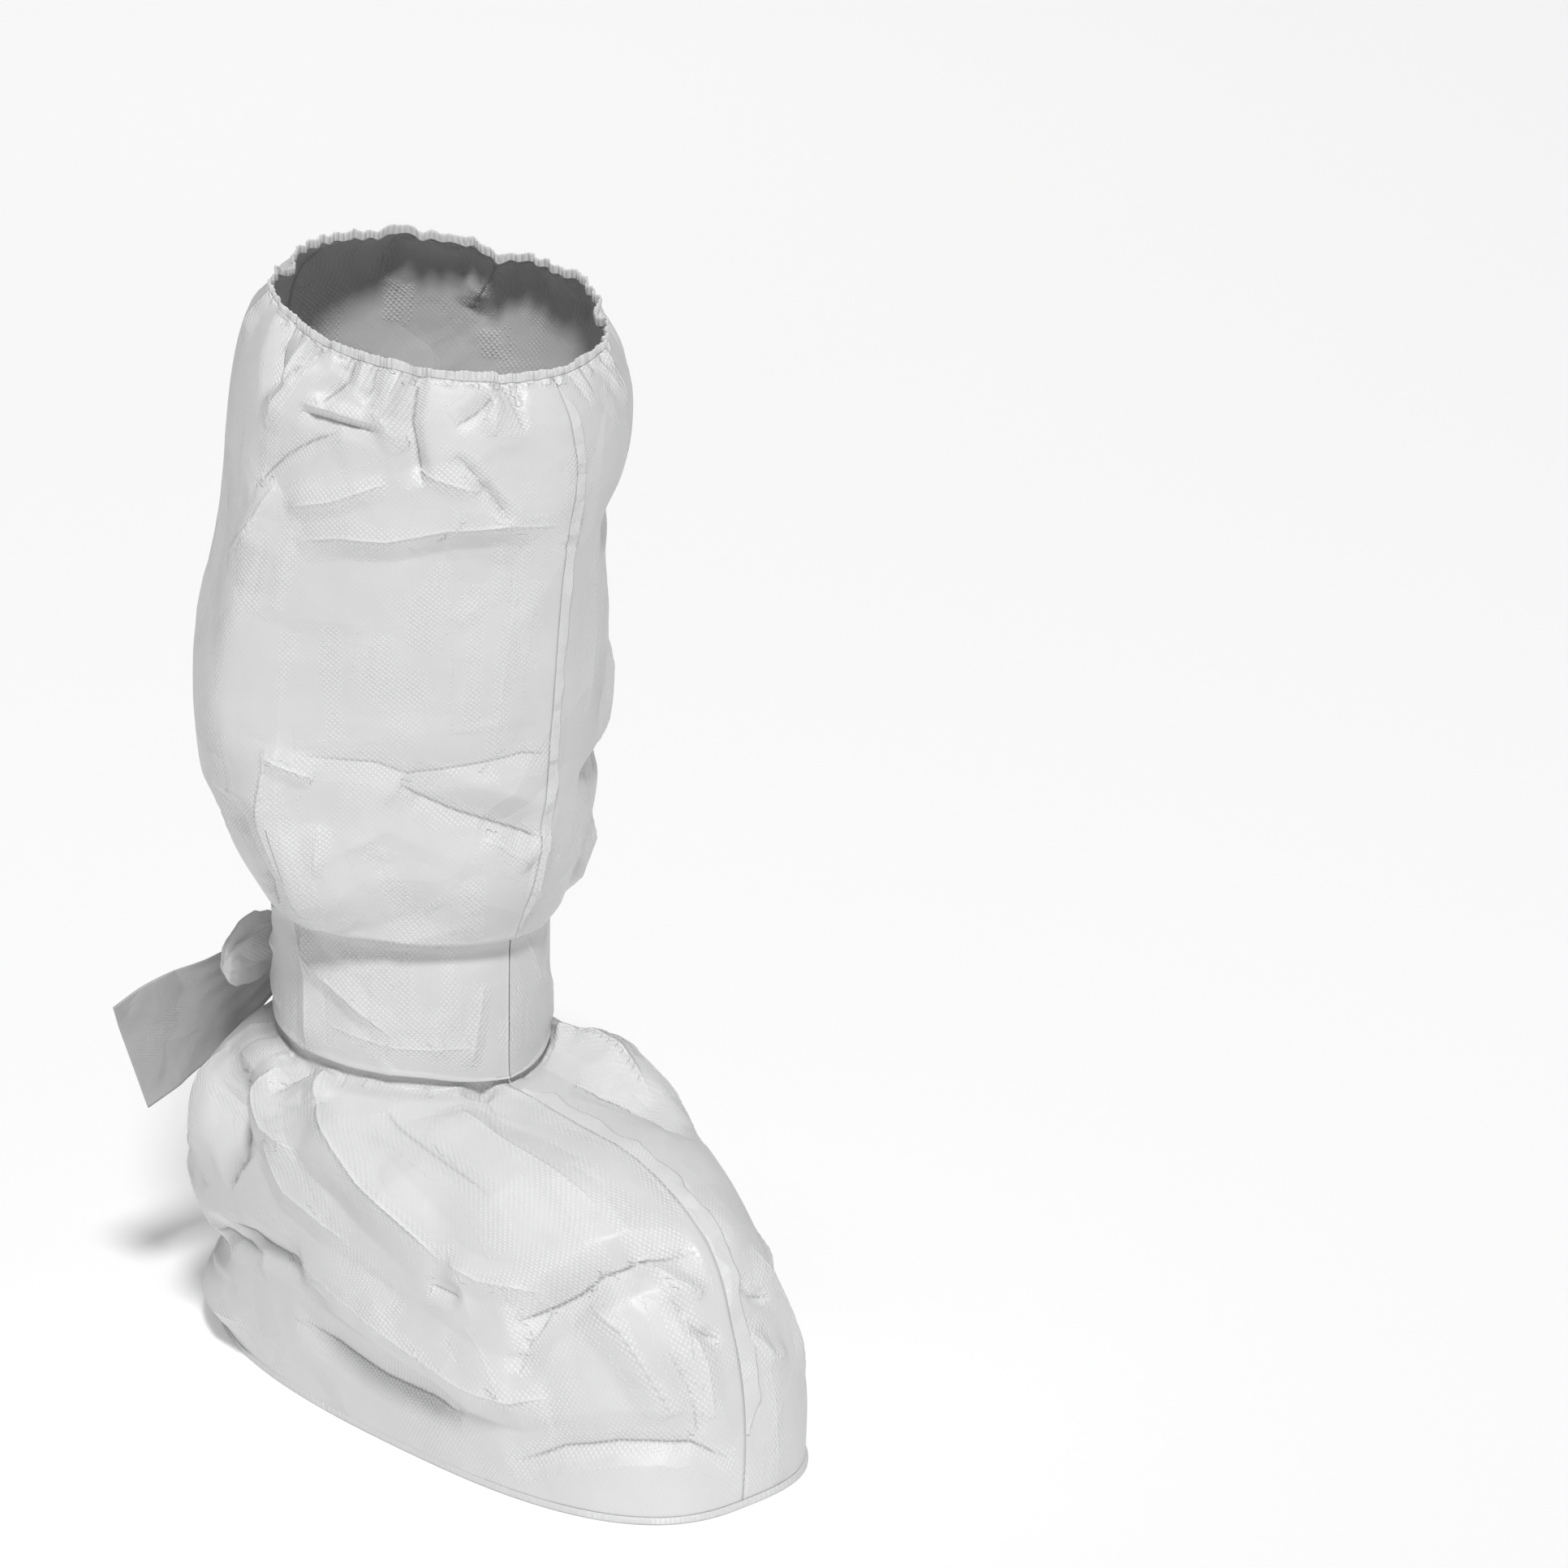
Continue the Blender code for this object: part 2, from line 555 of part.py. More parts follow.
def build():
    """All the pieces of the boot cover."""
    for old in list(bpy.data.objects):
        bpy.data.objects.remove(old, do_unlink=True)
    collection = bpy.data.collections.new("boot_cover")
    bpy.context.scene.collection.children.link(collection)
    panel_cloth = cloth_material("laminate", (0.86, 0.86, 0.87), 0.42)
    seam_cloth = cloth_material("seam_laminate", (0.88, 0.88, 0.89), 0.4)
    tie_cloth = cloth_material("tie_laminate", (0.84, 0.84, 0.85), 0.45)
    tail_cloth = cloth_material("tail_laminate", (0.80, 0.80, 0.81), 0.5)
    objects = [
        build_panel("leg_near", 1, 0.0, PANEL_JOIN, collection, panel_cloth),
        build_panel("leg_far", -1, 0.0, PANEL_JOIN, collection, panel_cloth),
        build_panel("foot_near", 1, PANEL_JOIN, LAST_ROW, collection, panel_cloth),
        build_panel("foot_far", -1, PANEL_JOIN, LAST_ROW, collection, panel_cloth),
        build_seam("leg_seam", 0.3, 6.7, collection, seam_cloth),
        build_seam("foot_seam", 9.9, 15.1, collection, seam_cloth),
        build_hem(collection),
        build_sole(collection),
        build_tie("tie_near", 1, collection, tie_cloth),
        build_tie("tie_far", -1, collection, tie_cloth),
        build_knot(collection, tie_cloth),
        build_tail("tie_tail_near", NEAR_TAIL, 1, collection, tail_cloth),
        build_tail("tie_tail_far", FAR_TAIL, -1, collection, tail_cloth),
    ]
    centre_on_origin(objects)


build()
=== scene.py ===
"""Looks of a tall disposable boot cover, standing as if pulled on over a boot, in the row frame of its CAD
part.
Metres, +Z up, toe towards -Y; the near side, on which the tail of the tie hangs, is -X."""
import math

import bmesh
import bpy
import numpy as np
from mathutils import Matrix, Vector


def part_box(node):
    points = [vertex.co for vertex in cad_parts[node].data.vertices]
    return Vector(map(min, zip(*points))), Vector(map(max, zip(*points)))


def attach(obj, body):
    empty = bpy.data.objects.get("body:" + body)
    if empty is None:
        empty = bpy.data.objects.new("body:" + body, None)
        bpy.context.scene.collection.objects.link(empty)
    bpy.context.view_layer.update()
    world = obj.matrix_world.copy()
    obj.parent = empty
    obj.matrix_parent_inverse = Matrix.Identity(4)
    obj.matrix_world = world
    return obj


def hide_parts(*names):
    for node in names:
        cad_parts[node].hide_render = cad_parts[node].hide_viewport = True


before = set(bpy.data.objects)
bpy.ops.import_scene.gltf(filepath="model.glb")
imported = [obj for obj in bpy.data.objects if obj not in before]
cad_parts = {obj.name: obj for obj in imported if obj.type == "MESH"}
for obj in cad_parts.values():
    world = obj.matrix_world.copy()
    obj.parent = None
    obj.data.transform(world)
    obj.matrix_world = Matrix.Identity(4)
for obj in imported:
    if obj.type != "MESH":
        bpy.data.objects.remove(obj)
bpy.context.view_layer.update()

# Side panels
# The real cover is two side panels of thin white laminate, a nonwoven with a film on it, welded
# along the front and the back. Worn over a boot they stand up stiffly, in flat facets and sharp
# creases like paper. Each panel is made here in a leg and a foot that meet under the tie.
MM = 0.001
FRONT_LINE = np.array([0.002, 0.0701, 0.0])
# Level sections from the rim to the sole: height at the front and at the back, reach to the front,
# back, near and far sides, where along its depth it is widest, the powers of its near, far and
# back curves (2 is an ellipse, more is squarer), and how far it leans to the near side
SECTIONS = np.array((
    (0.433, 0.463, 0.106, -0.026, 0.066, 0.069, 0.50, 1.90, 1.90, 1.90, 0.000),
    (0.416, 0.450, 0.116, -0.044, 0.076, 0.080, 0.50, 1.70, 1.80, 1.70, 0.000),
    (0.394, 0.425, 0.118, -0.054, 0.083, 0.082, 0.50, 1.60, 1.80, 1.60, 0.000),
    (0.350, 0.366, 0.110, -0.062, 0.088, 0.078, 0.50, 1.55, 1.60, 1.55, 0.000),
    (0.300, 0.305, 0.104, -0.077, 0.092, 0.088, 0.50, 1.55, 1.60, 1.55, 0.000),
    (0.258, 0.266, 0.099, -0.076, 0.090, 0.088, 0.50, 1.55, 1.60, 1.55, 0.000),
    (0.226, 0.236, 0.094, -0.056, 0.082, 0.082, 0.50, 1.60, 1.60, 1.60, 0.002),
    (0.197, 0.212, 0.084, -0.045, 0.0645, 0.069, 0.50, 1.70, 1.70, 1.70, 0.004),
    (0.2034, 0.211, 0.076, -0.042, 0.0525, 0.056, 0.50, 1.80, 1.80, 1.80, 0.002),
    (0.136, 0.148, 0.075, -0.042, 0.0525, 0.056, 0.50, 1.80, 1.80, 1.80, 0.002),
    (0.1305, 0.138, 0.086, -0.056, 0.064, 0.066, 0.50, 1.80, 1.80, 1.90, 0.002),
    (0.128, 0.115, 0.116, -0.080, 0.074, 0.076, 0.50, 1.90, 2.00, 2.00, 0.004),
    (0.122, 0.087, 0.160, -0.090, 0.080, 0.074, 0.50, 2.00, 2.20, 2.10, 0.006),
    (0.101, 0.059, 0.201, -0.090, 0.080, 0.068, 0.52, 2.00, 2.30, 2.20, 0.010),
    (0.069, 0.040, 0.220, -0.080, 0.077, 0.070, 0.54, 2.20, 2.50, 2.30, 0.014),
    (0.033, 0.020, 0.228, -0.086, 0.072, 0.076, 0.55, 2.40, 2.80, 2.30, 0.016),
    (0.0022, 0.0022, 0.229, -0.086, 0.066, 0.073, 0.55, 2.70, 3.00, 2.30, 0.018),
))
LAST_ROW = len(SECTIONS) - 1.0
JOIN_ROW = 8.5
NECK_ROWS = (7.4, 9.35)
CORNER_ROWS = (7, 8)
FILM = 0.35 * MM
# Distances from the line of a crease, in millimetres: where it stops being pressed, and none near
CREASE_REACH = 3.2
FAR_FROM_CREASES = 9.0

# Folds and creases: the route as (degrees from the front line towards the near side, section
# row), then height, width left of the way it runs and width right of it, in millimetres.
FOLD_COLUMNS = ("route", "height", "left", "right")
LEG_FOLDS = (
    (((49, -0.1), (49, 1.1), (46, 1.8), (44, 2.1)), -3.6, 4, 9),
    (((54, -0.1), (56, 0.6), (57, 1.1), (50, 1.7)), 2.2, 4, 6),
    (((64, -0.1), (62, 0.6), (63, 0.9)), -2.2, 4, 4),
    (((72, -0.1), (70, 0.6), (74, 1.2)), -3.0, 4, 7),
    (((84, -0.1), (86, 0.5), (88, 1.0)), -1.8, 4, 5),
    (((90, -0.1), (91, 0.6), (90, 1.1)), 1.6, 4, 5),
    (((80, 1.27), (70, 1.24), (57, 1.26)), 1.3, 5, 3),
    (((80, 1.44), (70, 1.40), (55, 1.42)), -1.9, 3, 6),
    (((22, -0.1), (20, 0.4), (19, 1.1)), -1.5, 3, 5),
    (((25, 0.35), (31, 0.7), (38, 1.05)), -1.8, 3, 5),
    (((38, 1.6), (31, 2.0), (22, 2.4)), -1.2, 3, 5),
    (((27, -0.1), (26, 0.5), (28, 1.2)), 1.2, 3, 5),
    (((15, -0.1), (17, 0.6)), -0.9, 3, 3),
    (((84, 0.4), (87, 1.1), (93, 1.9)), 2.4, 9, 8),
    (((106, -0.1), (101, 0.7), (92, 1.4)), -2.6, 7, 10),
    (((66, 1.6), (76, 1.95), (84, 2.2), (97, 2.5)), -2.6, 12, 16),
    (((82, 2.35), (88, 2.65), (106, 3.05)), 2.0, 9, 12),
    (((52, 2.1), (64, 2.35), (77, 2.5)), 1.5, 6, 9),
    (((72, 2.72), (60, 2.62), (50, 2.60), (37, 2.45), (22, 2.40), (3, 2.45)), 2.6, 26, 9),
    (((31, 2.0), (24, 2.38)), -1.1, 5, 7),
    (((46, 1.93), (30, 2.1)), 0.9, 6, 5),
    (((74, 4.46), (60, 4.66)), 1.4, 8, 6),
    (((66, 4.44), (47, 4.48), (40, 4.6), (31, 4.55), (12, 4.45), (1, 4.5)), -1.5, 16, 9),
    (((42, 4.70), (37, 4.87), (29, 5.05), (11, 5.35), (0.5, 5.5)), -3.4, 14, 17),
    (((22, 5.38), (4, 5.82)), 1.8, 8, 8),
    (((72, 4.35), (76, 5.3), (75, 6.2), (73, 7.0)), 4.2, 26, 17),
    (((60, 5.2), (64, 5.9)), 1.0, 5, 5),
    (((92, 5.0), (90, 5.8), (87, 6.6)), -4.4, 16, 20),
    (((-3, 5.4), (-5, 6.5)), 1.4, 6, 5),
    (((-47, 3.1), (-47, 4.1), (-48, 4.95)), 0.9, 14, 16),
    (((-47, 3.9), (-47, 4.4), (-48, 4.95)), 2.0, 14, 16),
    (((-20, 4.95), (-46, 5.02), (-74, 4.9)), -3.4, 7, 14),
    (((-24, 2.8), (-44, 2.62), (-70, 2.5)), -3.4, 16, 14),
    (((-48, 5.9), (-50, 6.5), (-48, 7.0)), 3.4, 14, 12),
    (((-20, 2.6), (-26, 3.5), (-22, 4.4)), 0.7, 16, 12),
    (((-58, -0.1), (-54, 1.0), (-52, 1.8)), -3.2, 8, 9),
    (((-30, -0.1), (-33, 1.3)), 1.4, 6, 8),
    (((-84, -0.1), (-88, 1.2)), 1.6, 8, 8),
    (((-118, -0.1), (-122, 0.9), (-126, 1.7)), -3.2, 10, 10),
    (((150, -0.1), (153, 1.0), (156, 1.9)), -3.6, 10, 10),
    (((126, -0.1), (128, 1.2)), 1.8, 8, 8),
    (((-152, -0.1), (-150, 1.4)), 1.8, 8, 9),
    (((172, 2.1), (170, 3.6), (174, 5.6)), 3.4, 18, 20),
    (((178, 3.6), (166, 3.4), (150, 3.35)), -2.6, 16, 14),
    (((-176, 4.9), (-150, 4.7), (-122, 4.95)), -3.0, 16, 16),
    (((142, 4.2), (144, 5.4), (140, 6.4)), 1.8, 16, 18),
    (((158, 5.3), (128, 5.55), (108, 5.5)), -2.4, 12, 14),
    (((-96, 2.3), (-118, 3.0), (-126, 3.9)), 2.4, 16, 14),
    (((-98, 5.4), (-112, 6.2)), 2.4, 14, 14),
)
# Broad dents with no crease in them, where the film stands out or sinks in
SOFT_FOLDS = (
    (((50, 5.4), (44, 6.2), (39, 6.9)), -2.8, 22, 24),
    (((24, 5.9), (20, 6.9)), 0.9, 15, 18),
    (((60, 3.3), (56, 4.3)), -1.0, 30, 28),
    (((28, 2.9), (26, 4.2)), 1.0, 24, 24),
    (((88, 2.6), (96, 3.6), (98, 4.6)), 2.2, 20, 22),
    (((40, 10.4), (44, 11.6), (48, 12.8)), 1.8, 26, 24),
    (((108, 9.2), (112, 10.0), (116, 11.0)), 2.8, 22, 22),
    (((-24, 5.0), (-28, 6.4)), 1.6, 14, 16),
    (((-70, 10.4), (-76, 12.2)), 2.4, 22, 22),
    (((120, 2.4), (118, 3.8)), -1.6, 24, 24),
    (((-130, 2.6), (-134, 4.4)), 2.2, 24, 24),
)
FOOT_FOLDS = (
    (((134, 10.4), (128, 11.2), (125, 11.8), (129, 12.6)), 3.4, 14, 12),
    (((113, 10.2), (110, 11.2), (106, 12.2)), -8.6, 19, 20),
    (((97, 9.8), (99, 10.6), (93, 11.3), (85, 11.6)), 2.6, 12, 9),
    (((93, 11.5), (93, 12.3), (84, 12.9)), 2.0, 12, 10),
    (((74, 10.3), (72, 11.5), (70, 12.1), (64, 13.0)), 4.0, 13, 15),
    (((52, 10.2), (48, 11.2), (44, 12.2)), -1.6, 16, 15),
    (((30, 10.1), (27, 11.4), (22, 12.4)), 1.4, 14, 12),
    (((63, 13.0), (58, 13.2), (47, 13.3)), 1.6, 8, 7),
    (((57, 13.72), (47, 13.5), (38, 13.3), (31, 13.1), (22, 13.0), (4, 13.05)), -5.4, 12, 13),
    (((37, 13.45), (31, 13.75), (26, 14.25), (21, 14.7)), 2.8, 11, 12),
    (((46, 13.5), (54, 13.95), (58, 14.3)), -1.6, 9, 9),
    (((99, 13.3), (89, 13.85), (80, 14.2), (70, 14.5), (60, 14.6), (52, 14.5)), 4.4, 16, 13),
    (((106, 14.4), (90, 14.9), (74, 15.0)), -3.0, 15, 12),
    (((118, 13.1), (108, 13.35), (98, 13.5)), -3.4, 11, 11),
    (((134, 13.6), (124, 13.45), (112, 13.6)), -3.0, 9, 9),
    (((66, 15.5), (52, 15.15), (37, 15.0), (28, 15.0), (15, 15.05), (2, 15.35)), -3.2, 13, 9),
    (((70, 13.3), (64, 13.45)), -1.4, 6, 6),
    (((22, 12.9), (14, 13.3), (7, 13.5)), 1.8, 5, 6),
    (((17, 13.45), (11, 13.85), (4, 14.0)), -2.0, 4, 5),
    (((14, 13.6), (10, 14.2), (9, 14.8)), 1.2, 6, 7),
    (((20, 14.0), (15, 14.5), (13, 15.0)), -1.2, 4, 5),
    (((-3, 12.1), (-4, 12.5)), -2.2, 2, 3),
    (((-3, 12.7), (-5, 13.1)), -2.4, 2, 3),
    (((-4, 13.4), (-9, 13.7), (-16, 13.8)), -1.8, 4, 4),
    (((-3, 14.0), (-9, 14.35), (-17, 14.4)), 1.5, 4, 5),
    (((-22, 10.4), (-30, 11.3), (-34, 12.2)), -3.6, 14, 15),
    (((-44, 10.0), (-48, 11.2), (-52, 12.4)), 2.8, 13, 14),
    (((-58, 12.5), (-78, 13.0), (-98, 13.6)), -4.4, 18, 18),
    (((-40, 13.4), (-60, 14.2), (-84, 14.5)), 3.0, 15, 14),
    (((-16, 13.2), (-26, 14.0), (-30, 14.9)), 2.2, 12, 12),
    (((-118, 10.8), (-114, 11.8), (-112, 12.8)), -4.4, 18, 18),
    (((-138, 10.4), (-134, 11.6), (-136, 12.8)), 3.0, 16, 14),
    (((-110, 14.0), (-138, 13.9), (-160, 14.1)), -2.6, 12, 12),
    (((158, 10.6), (162, 11.8), (156, 13.0)), -3.4, 14, 14),
    (((178, 12.0), (160, 12.4), (142, 12.9)), 2.2, 12, 12),
    (((174, 13.9), (150, 14.05), (128, 13.95)), -3.8, 9, 10),
    (((174, 15.2), (148, 15.3), (122, 15.2)), 3.6, 12, 14),
    (((-47, 9.15), (-47, 9.8), (-43, 10.6), (-38, 11.5)), 6.0, 22, 24),
    (((12, 9.0), (15, 9.5), (21, 9.9)), -3.4, 5, 8),
    (((80, 9.1), (77, 9.8), (74, 10.5)), 2.4, 7, 6),
    (((87, 9.1), (88, 9.8), (93, 10.6)), -1.8, 7, 8),
)


def section_at(rows):
    """Curve through the section rows, which doesn't swing past them: smooth, but for the corners
    at the lip of the leg and at the top of the neck."""
    last = len(SECTIONS) - 2
    low = np.clip(np.floor(rows).astype(int), 0, last)
    f = (rows - low)[:, None]
    p0 = SECTIONS[np.clip(low - 1, 0, None)]
    p1 = SECTIONS[low]
    p2 = SECTIONS[low + 1]
    p3 = SECTIONS[np.clip(low + 2, None, len(SECTIONS) - 1)]
    most = 3 * np.abs(p2 - p1)
    most1 = np.minimum(most, 3 * np.abs(p1 - p0) + (low == 0)[:, None])
    most2 = np.minimum(most, 3 * np.abs(p3 - p2) + (low == last)[:, None])
    slope1 = np.clip((p2 - p0) / 2, -most1, most1)
    slope2 = np.clip((p3 - p1) / 2, -most2, most2)
    leaving = np.isin(low, CORNER_ROWS)
    arriving = np.isin(low + 1, CORNER_ROWS)
    slope1[leaving] = (p2 - p1)[leaving]
    slope2[arriving] = (p2 - p1)[arriving]
    return ((2 * f**3 - 3 * f**2 + 1) * p1 + (f**3 - 2 * f**2 + f) * slope1
            + (3 * f**2 - 2 * f**3) * p2 + (f**3 - f**2) * slope2)


def smooth_cover(rows, angles):
    """Points of the cover without its folds, at paired rows and angles in degrees."""
    rows = np.clip(np.asarray(rows, float), 0, LAST_ROW)
    (z_front, z_back, front, back, near, far, widest,
     near_power, far_power, back_power, lean) = section_at(rows).T
    turn = np.radians(np.asarray(angles, float))
    ahead = np.cos(turn)
    aside = np.sin(turn)
    power = np.where(ahead >= 0, np.where(aside >= 0, near_power, far_power), back_power)
    along = np.sign(ahead) * np.abs(ahead) ** (2 / power)
    across = np.sign(aside) * np.abs(aside) ** (2 / power)
    share = widest + along * np.where(along >= 0, 1 - widest, widest)
    x = -across * np.where(aside >= 0, near, far) - lean * share
    y = -(back + share * (front - back))
    z = z_back + share * (z_front - z_back)
    return np.stack([x, y, z], axis=-1) + FRONT_LINE


def cover_normal(rows, angles):
    """Outward unit normals of the cover without its folds."""
    rows = np.asarray(rows, float)
    angles = np.asarray(angles, float)
    around = smooth_cover(rows, angles + 1.5) - smooth_cover(rows, angles - 1.5)
    down = (smooth_cover(np.minimum(rows + 0.06, LAST_ROW), angles)
            - smooth_cover(np.maximum(rows - 0.06, 0), angles))
    normals = np.cross(around, down)
    return normals / np.linalg.norm(normals, axis=-1, keepdims=True)


def fold_height(points, rows, fold, apex, steepness):
    """Height of one fold at points of the smooth cover: two flanks that meet in a crease.
    Also the distance from the crease's line and how sharply it is pressed there."""
    fold = dict(zip(FOLD_COLUMNS, fold))
    route = np.array(fold["route"], float)
    steps = np.linspace(0, len(route) - 1, 24 * (len(route) - 1) + 1)
    path_angles = np.interp(steps, range(len(route)), route[:, 0])
    path_rows = np.interp(steps, range(len(route)), route[:, 1])
    path = smooth_cover(path_rows, path_angles)
    run = np.gradient(path, axis=0)
    stride = np.maximum(np.linalg.norm(run, axis=1), 1e-9)
    run /= stride[:, None]
    leftwards = np.cross(cover_normal(np.maximum(path_rows, 0), path_angles), run)
    reach = max(fold["left"], fold["right"]) * MM
    height = np.zeros(len(points))
    apart = np.full(len(points), FAR_FROM_CREASES)
    sharp = np.zeros(len(points))
    close = np.all((points > path.min(0) - reach) & (points < path.max(0) + reach), axis=1)
    close &= (rows > path_rows.min() - 1.4) & (rows < path_rows.max() + 1.4)
    if not close.any():
        return height, apart, sharp
    away = points[close][:, None, :] - path[None, :, :]
    nearest = np.einsum("ijk,ijk->ij", away, away).argmin(axis=1)
    offset = points[close] - path[nearest]
    ahead = np.einsum("ij,ij->i", run[nearest], offset)
    ahead = np.clip(ahead, -stride[nearest], stride[nearest])
    offset = offset - run[nearest] * ahead[:, None]
    gap = np.linalg.norm(offset, axis=1)
    on_left = np.einsum("ij,ij->i", leftwards[nearest], offset) > 0
    width = np.where(on_left, fold["left"], fold["right"]) * MM
    flank = np.clip(1 - (np.sqrt(gap**2 + apex**2) - apex) / width, 0, 1) ** steepness
    place = steps[nearest] / steps[-1]
    end = np.clip((1 - place) / 0.24, 0, 1)
    if route[0, 1] > 0:
        end = np.minimum(end, np.clip(place / 0.24, 0, 1))
    height[close] = fold["height"] * MM * flank * end ** 0.8
    apart[close] = np.where(on_left, gap, -gap) / MM
    press = math.copysign(min(0.22 + 0.14 * abs(fold["height"]), 0.75), fold["height"])
    sharp[close] = press * np.clip(end * 1.8, 0, 1)
    return height, apart, sharp


def chance_folds(rng, count, rows, angles, height, width, length):
    """Small folds at random places: the cloth has been packed flat and pulled on."""
    folds = []
    for _ in range(count):
        row = rng.uniform(*rows)
        angle = rng.uniform(*angles)
        tilt = rng.uniform(0, 2 * math.pi)
        half = rng.uniform(*length) / 2
        bend = rng.uniform(-0.35, 0.35)
        ends = [(angle - 100 * half * math.cos(tilt), row - 3.2 * half * 10 * math.sin(tilt)),
                (angle + 100 * half * bend * math.sin(tilt), row + 3 * half * bend * math.cos(tilt)),
                (angle + 100 * half * math.cos(tilt), row + 3.2 * half * 10 * math.sin(tilt))]
        rise = rng.uniform(*height) * rng.choice((-1, 1))
        folds.append((tuple(ends), rise, rng.uniform(*width), rng.uniform(*width)))
    return folds


def gathers(rng, count, edge, way, reach, rise):
    """Pleats that run from a gathered edge, all the way round, a few of them long."""
    folds = []
    for number in range(count):
        angle = -180 + 360 * (number + rng.uniform(-0.4, 0.4)) / count
        long = reach * (rng.uniform(0.15, 0.5) if rng.random() < 0.85 else rng.uniform(0.8, 1.3))
        drift = rng.uniform(-6, 6) * long
        height = rng.uniform(*rise) * (1 if number % 2 else -1)
        folds.append((((angle, edge), (angle + drift * 0.4, edge + way * long * 0.5),
                       (angle + drift, edge + way * long)),
                      height, rng.uniform(2.0, 4.0), rng.uniform(2.0, 4.0)))
    return folds


rng = np.random.default_rng(11)
LEG_CHANCE = (chance_folds(rng, 24, (1.2, 7.0), (-178, 178), (0.4, 1.0), (16, 34), (0.05, 0.11))
              + chance_folds(rng, 60, (0.6, 7.2), (-179, 179), (0.2, 0.6), (3, 9), (0.012, 0.05)))
FOOT_CHANCE = (chance_folds(rng, 22, (10.2, 15.4), (-178, 178), (0.6, 1.5), (14, 28), (0.05, 0.10))
               + chance_folds(rng, 60, (9.9, 15.6), (-179, 179), (0.2, 0.6), (3, 9), (0.012, 0.05)))
GATHERS = gathers(rng, 104, -0.1, 1, 0.9, (0.5, 1.1)) + gathers(rng, 26, 9.0, 1, 1.7, (0.3, 0.9))
# Each kind of fold, with the roundness of its ridge, the steepness of its flanks, its strength and
# how sharply its line is pressed
FOLD_KINDS = (
    (LEG_FOLDS, 0.6 * MM, 1.1, 1.5, 1.0),
    (FOOT_FOLDS, 0.6 * MM, 1.1, 1.62, 1.0),
    (SOFT_FOLDS, 5.0 * MM, 1.3, 1.2, 0.0),
    (LEG_CHANCE + FOOT_CHANCE, 0.6 * MM, 1.2, 1.0, 0.35),
    (GATHERS, 0.4 * MM, 1.05, 1.0, 0.8),
)


def add_folds(points, rows, folds, apex, steepness, strength, press, height, crease):
    """Adds folds to a height, and keeps the nearest crease of each point. Away from the crease
    the sign of the distance stays, so that only the line itself is pressed."""
    for fold in folds:
        rise, apart, sharp = fold_height(points, rows, fold, apex, steepness)
        height += rise * strength
        nearer = (np.abs(apart) < np.abs(crease[:, 0])) & (sharp != 0)
        crease[nearer, 0] = apart[nearer]
        crease[nearer, 1] = np.where(np.abs(apart) < CREASE_REACH, sharp * press, 0)[nearer]


def cover_points(rows, angles):
    """Points of the folded cover, and the nearest crease of each."""
    points = smooth_cover(rows, angles)
    height = np.zeros(len(points))
    crease = np.zeros((len(points), 2))
    crease[:, 0] = FAR_FROM_CREASES
    for folds, apex, steepness, strength, press in FOLD_KINDS:
        add_folds(points, rows, folds, apex, steepness, strength, press, height, crease)
    off_neck = 1 - np.clip(np.minimum(rows - NECK_ROWS[0], NECK_ROWS[1] - rows) / 0.4, 0, 1)
    off_sole = np.clip((LAST_ROW - rows) / 0.5, 0, 1)
    crease[:, 1] *= off_neck * off_sole
    return points + cover_normal(rows, angles) * (height * off_neck * off_sole)[:, None], crease


def panel_grid(side, first_row, last_row, lines, columns):
    """Rows and angles of a panel, spaced evenly over the cloth, closer where it faces forward."""
    fine = np.linspace(first_row, last_row, 400)
    spots = [smooth_cover(fine, np.full(400, side * angle)) for angle in (0, 50, 90, 130, 180)]
    strides = np.mean([np.linalg.norm(np.diff(s, axis=0), axis=1) for s in spots], axis=0)
    down = np.append(0, np.cumsum(strides))
    rows = np.interp(np.linspace(0, down[-1], lines), down, fine)
    turns = np.linspace(0, 180, 361)
    angles = np.zeros((lines, columns))
    across = np.zeros((lines, columns))
    for number, row in enumerate(rows):
        ring = smooth_cover(np.full(361, row), side * turns)
        stride = np.linalg.norm(np.diff(ring, axis=0), axis=1)
        length = np.append(0, np.cumsum(stride))
        weight = np.append(0, np.cumsum(stride * np.where(turns[1:] < 118, 1.35, 0.8)))
        angles[number] = np.interp(np.linspace(0, weight[-1], columns), weight, turns)
        across[number] = np.interp(angles[number], turns, length)
    drop = np.repeat(np.linspace(0, down[-1], lines)[:, None], columns, axis=1)
    return np.repeat(rows[:, None], columns, axis=1), side * angles, across, drop


def sheet_from_grid(name, points, across, along, flip, crease=None):
    """A sheet of cloth through a grid of points, its UV map in metres of cloth. A second map
    holds the distance from the nearest crease in millimetres, and that crease's depth."""
    lines, columns = across.shape
    bpy.ops.object.select_all(action="DESELECT")
    bpy.ops.mesh.primitive_grid_add(x_subdivisions=columns - 1, y_subdivisions=lines - 1, size=1.0)
    sheet = bpy.context.active_object
    sheet.name = name
    sheet.data.name = name
    way = slice(None, None, -1 if flip else 1)
    sheet.data.vertices.foreach_set("co", points.reshape(lines, columns, 3)[:, way].ravel())
    corners = np.zeros(len(sheet.data.loops), int)
    sheet.data.loops.foreach_get("vertex_index", corners)
    cloth = np.stack([across[:, way].ravel(), along[:, way].ravel()], axis=-1)[corners]
    sheet.data.uv_layers.active.data.foreach_set("uv", cloth.ravel())
    if crease is not None:
        crease = crease.reshape(lines, columns, 2)[:, way]
        layer = sheet.data.uv_layers.new(name="creases")
        layer.data.foreach_set("uv", crease.reshape(-1, 2)[corners].ravel())
    for face in sheet.data.polygons:
        face.use_smooth = True
    sheet.data.update()
    return sheet


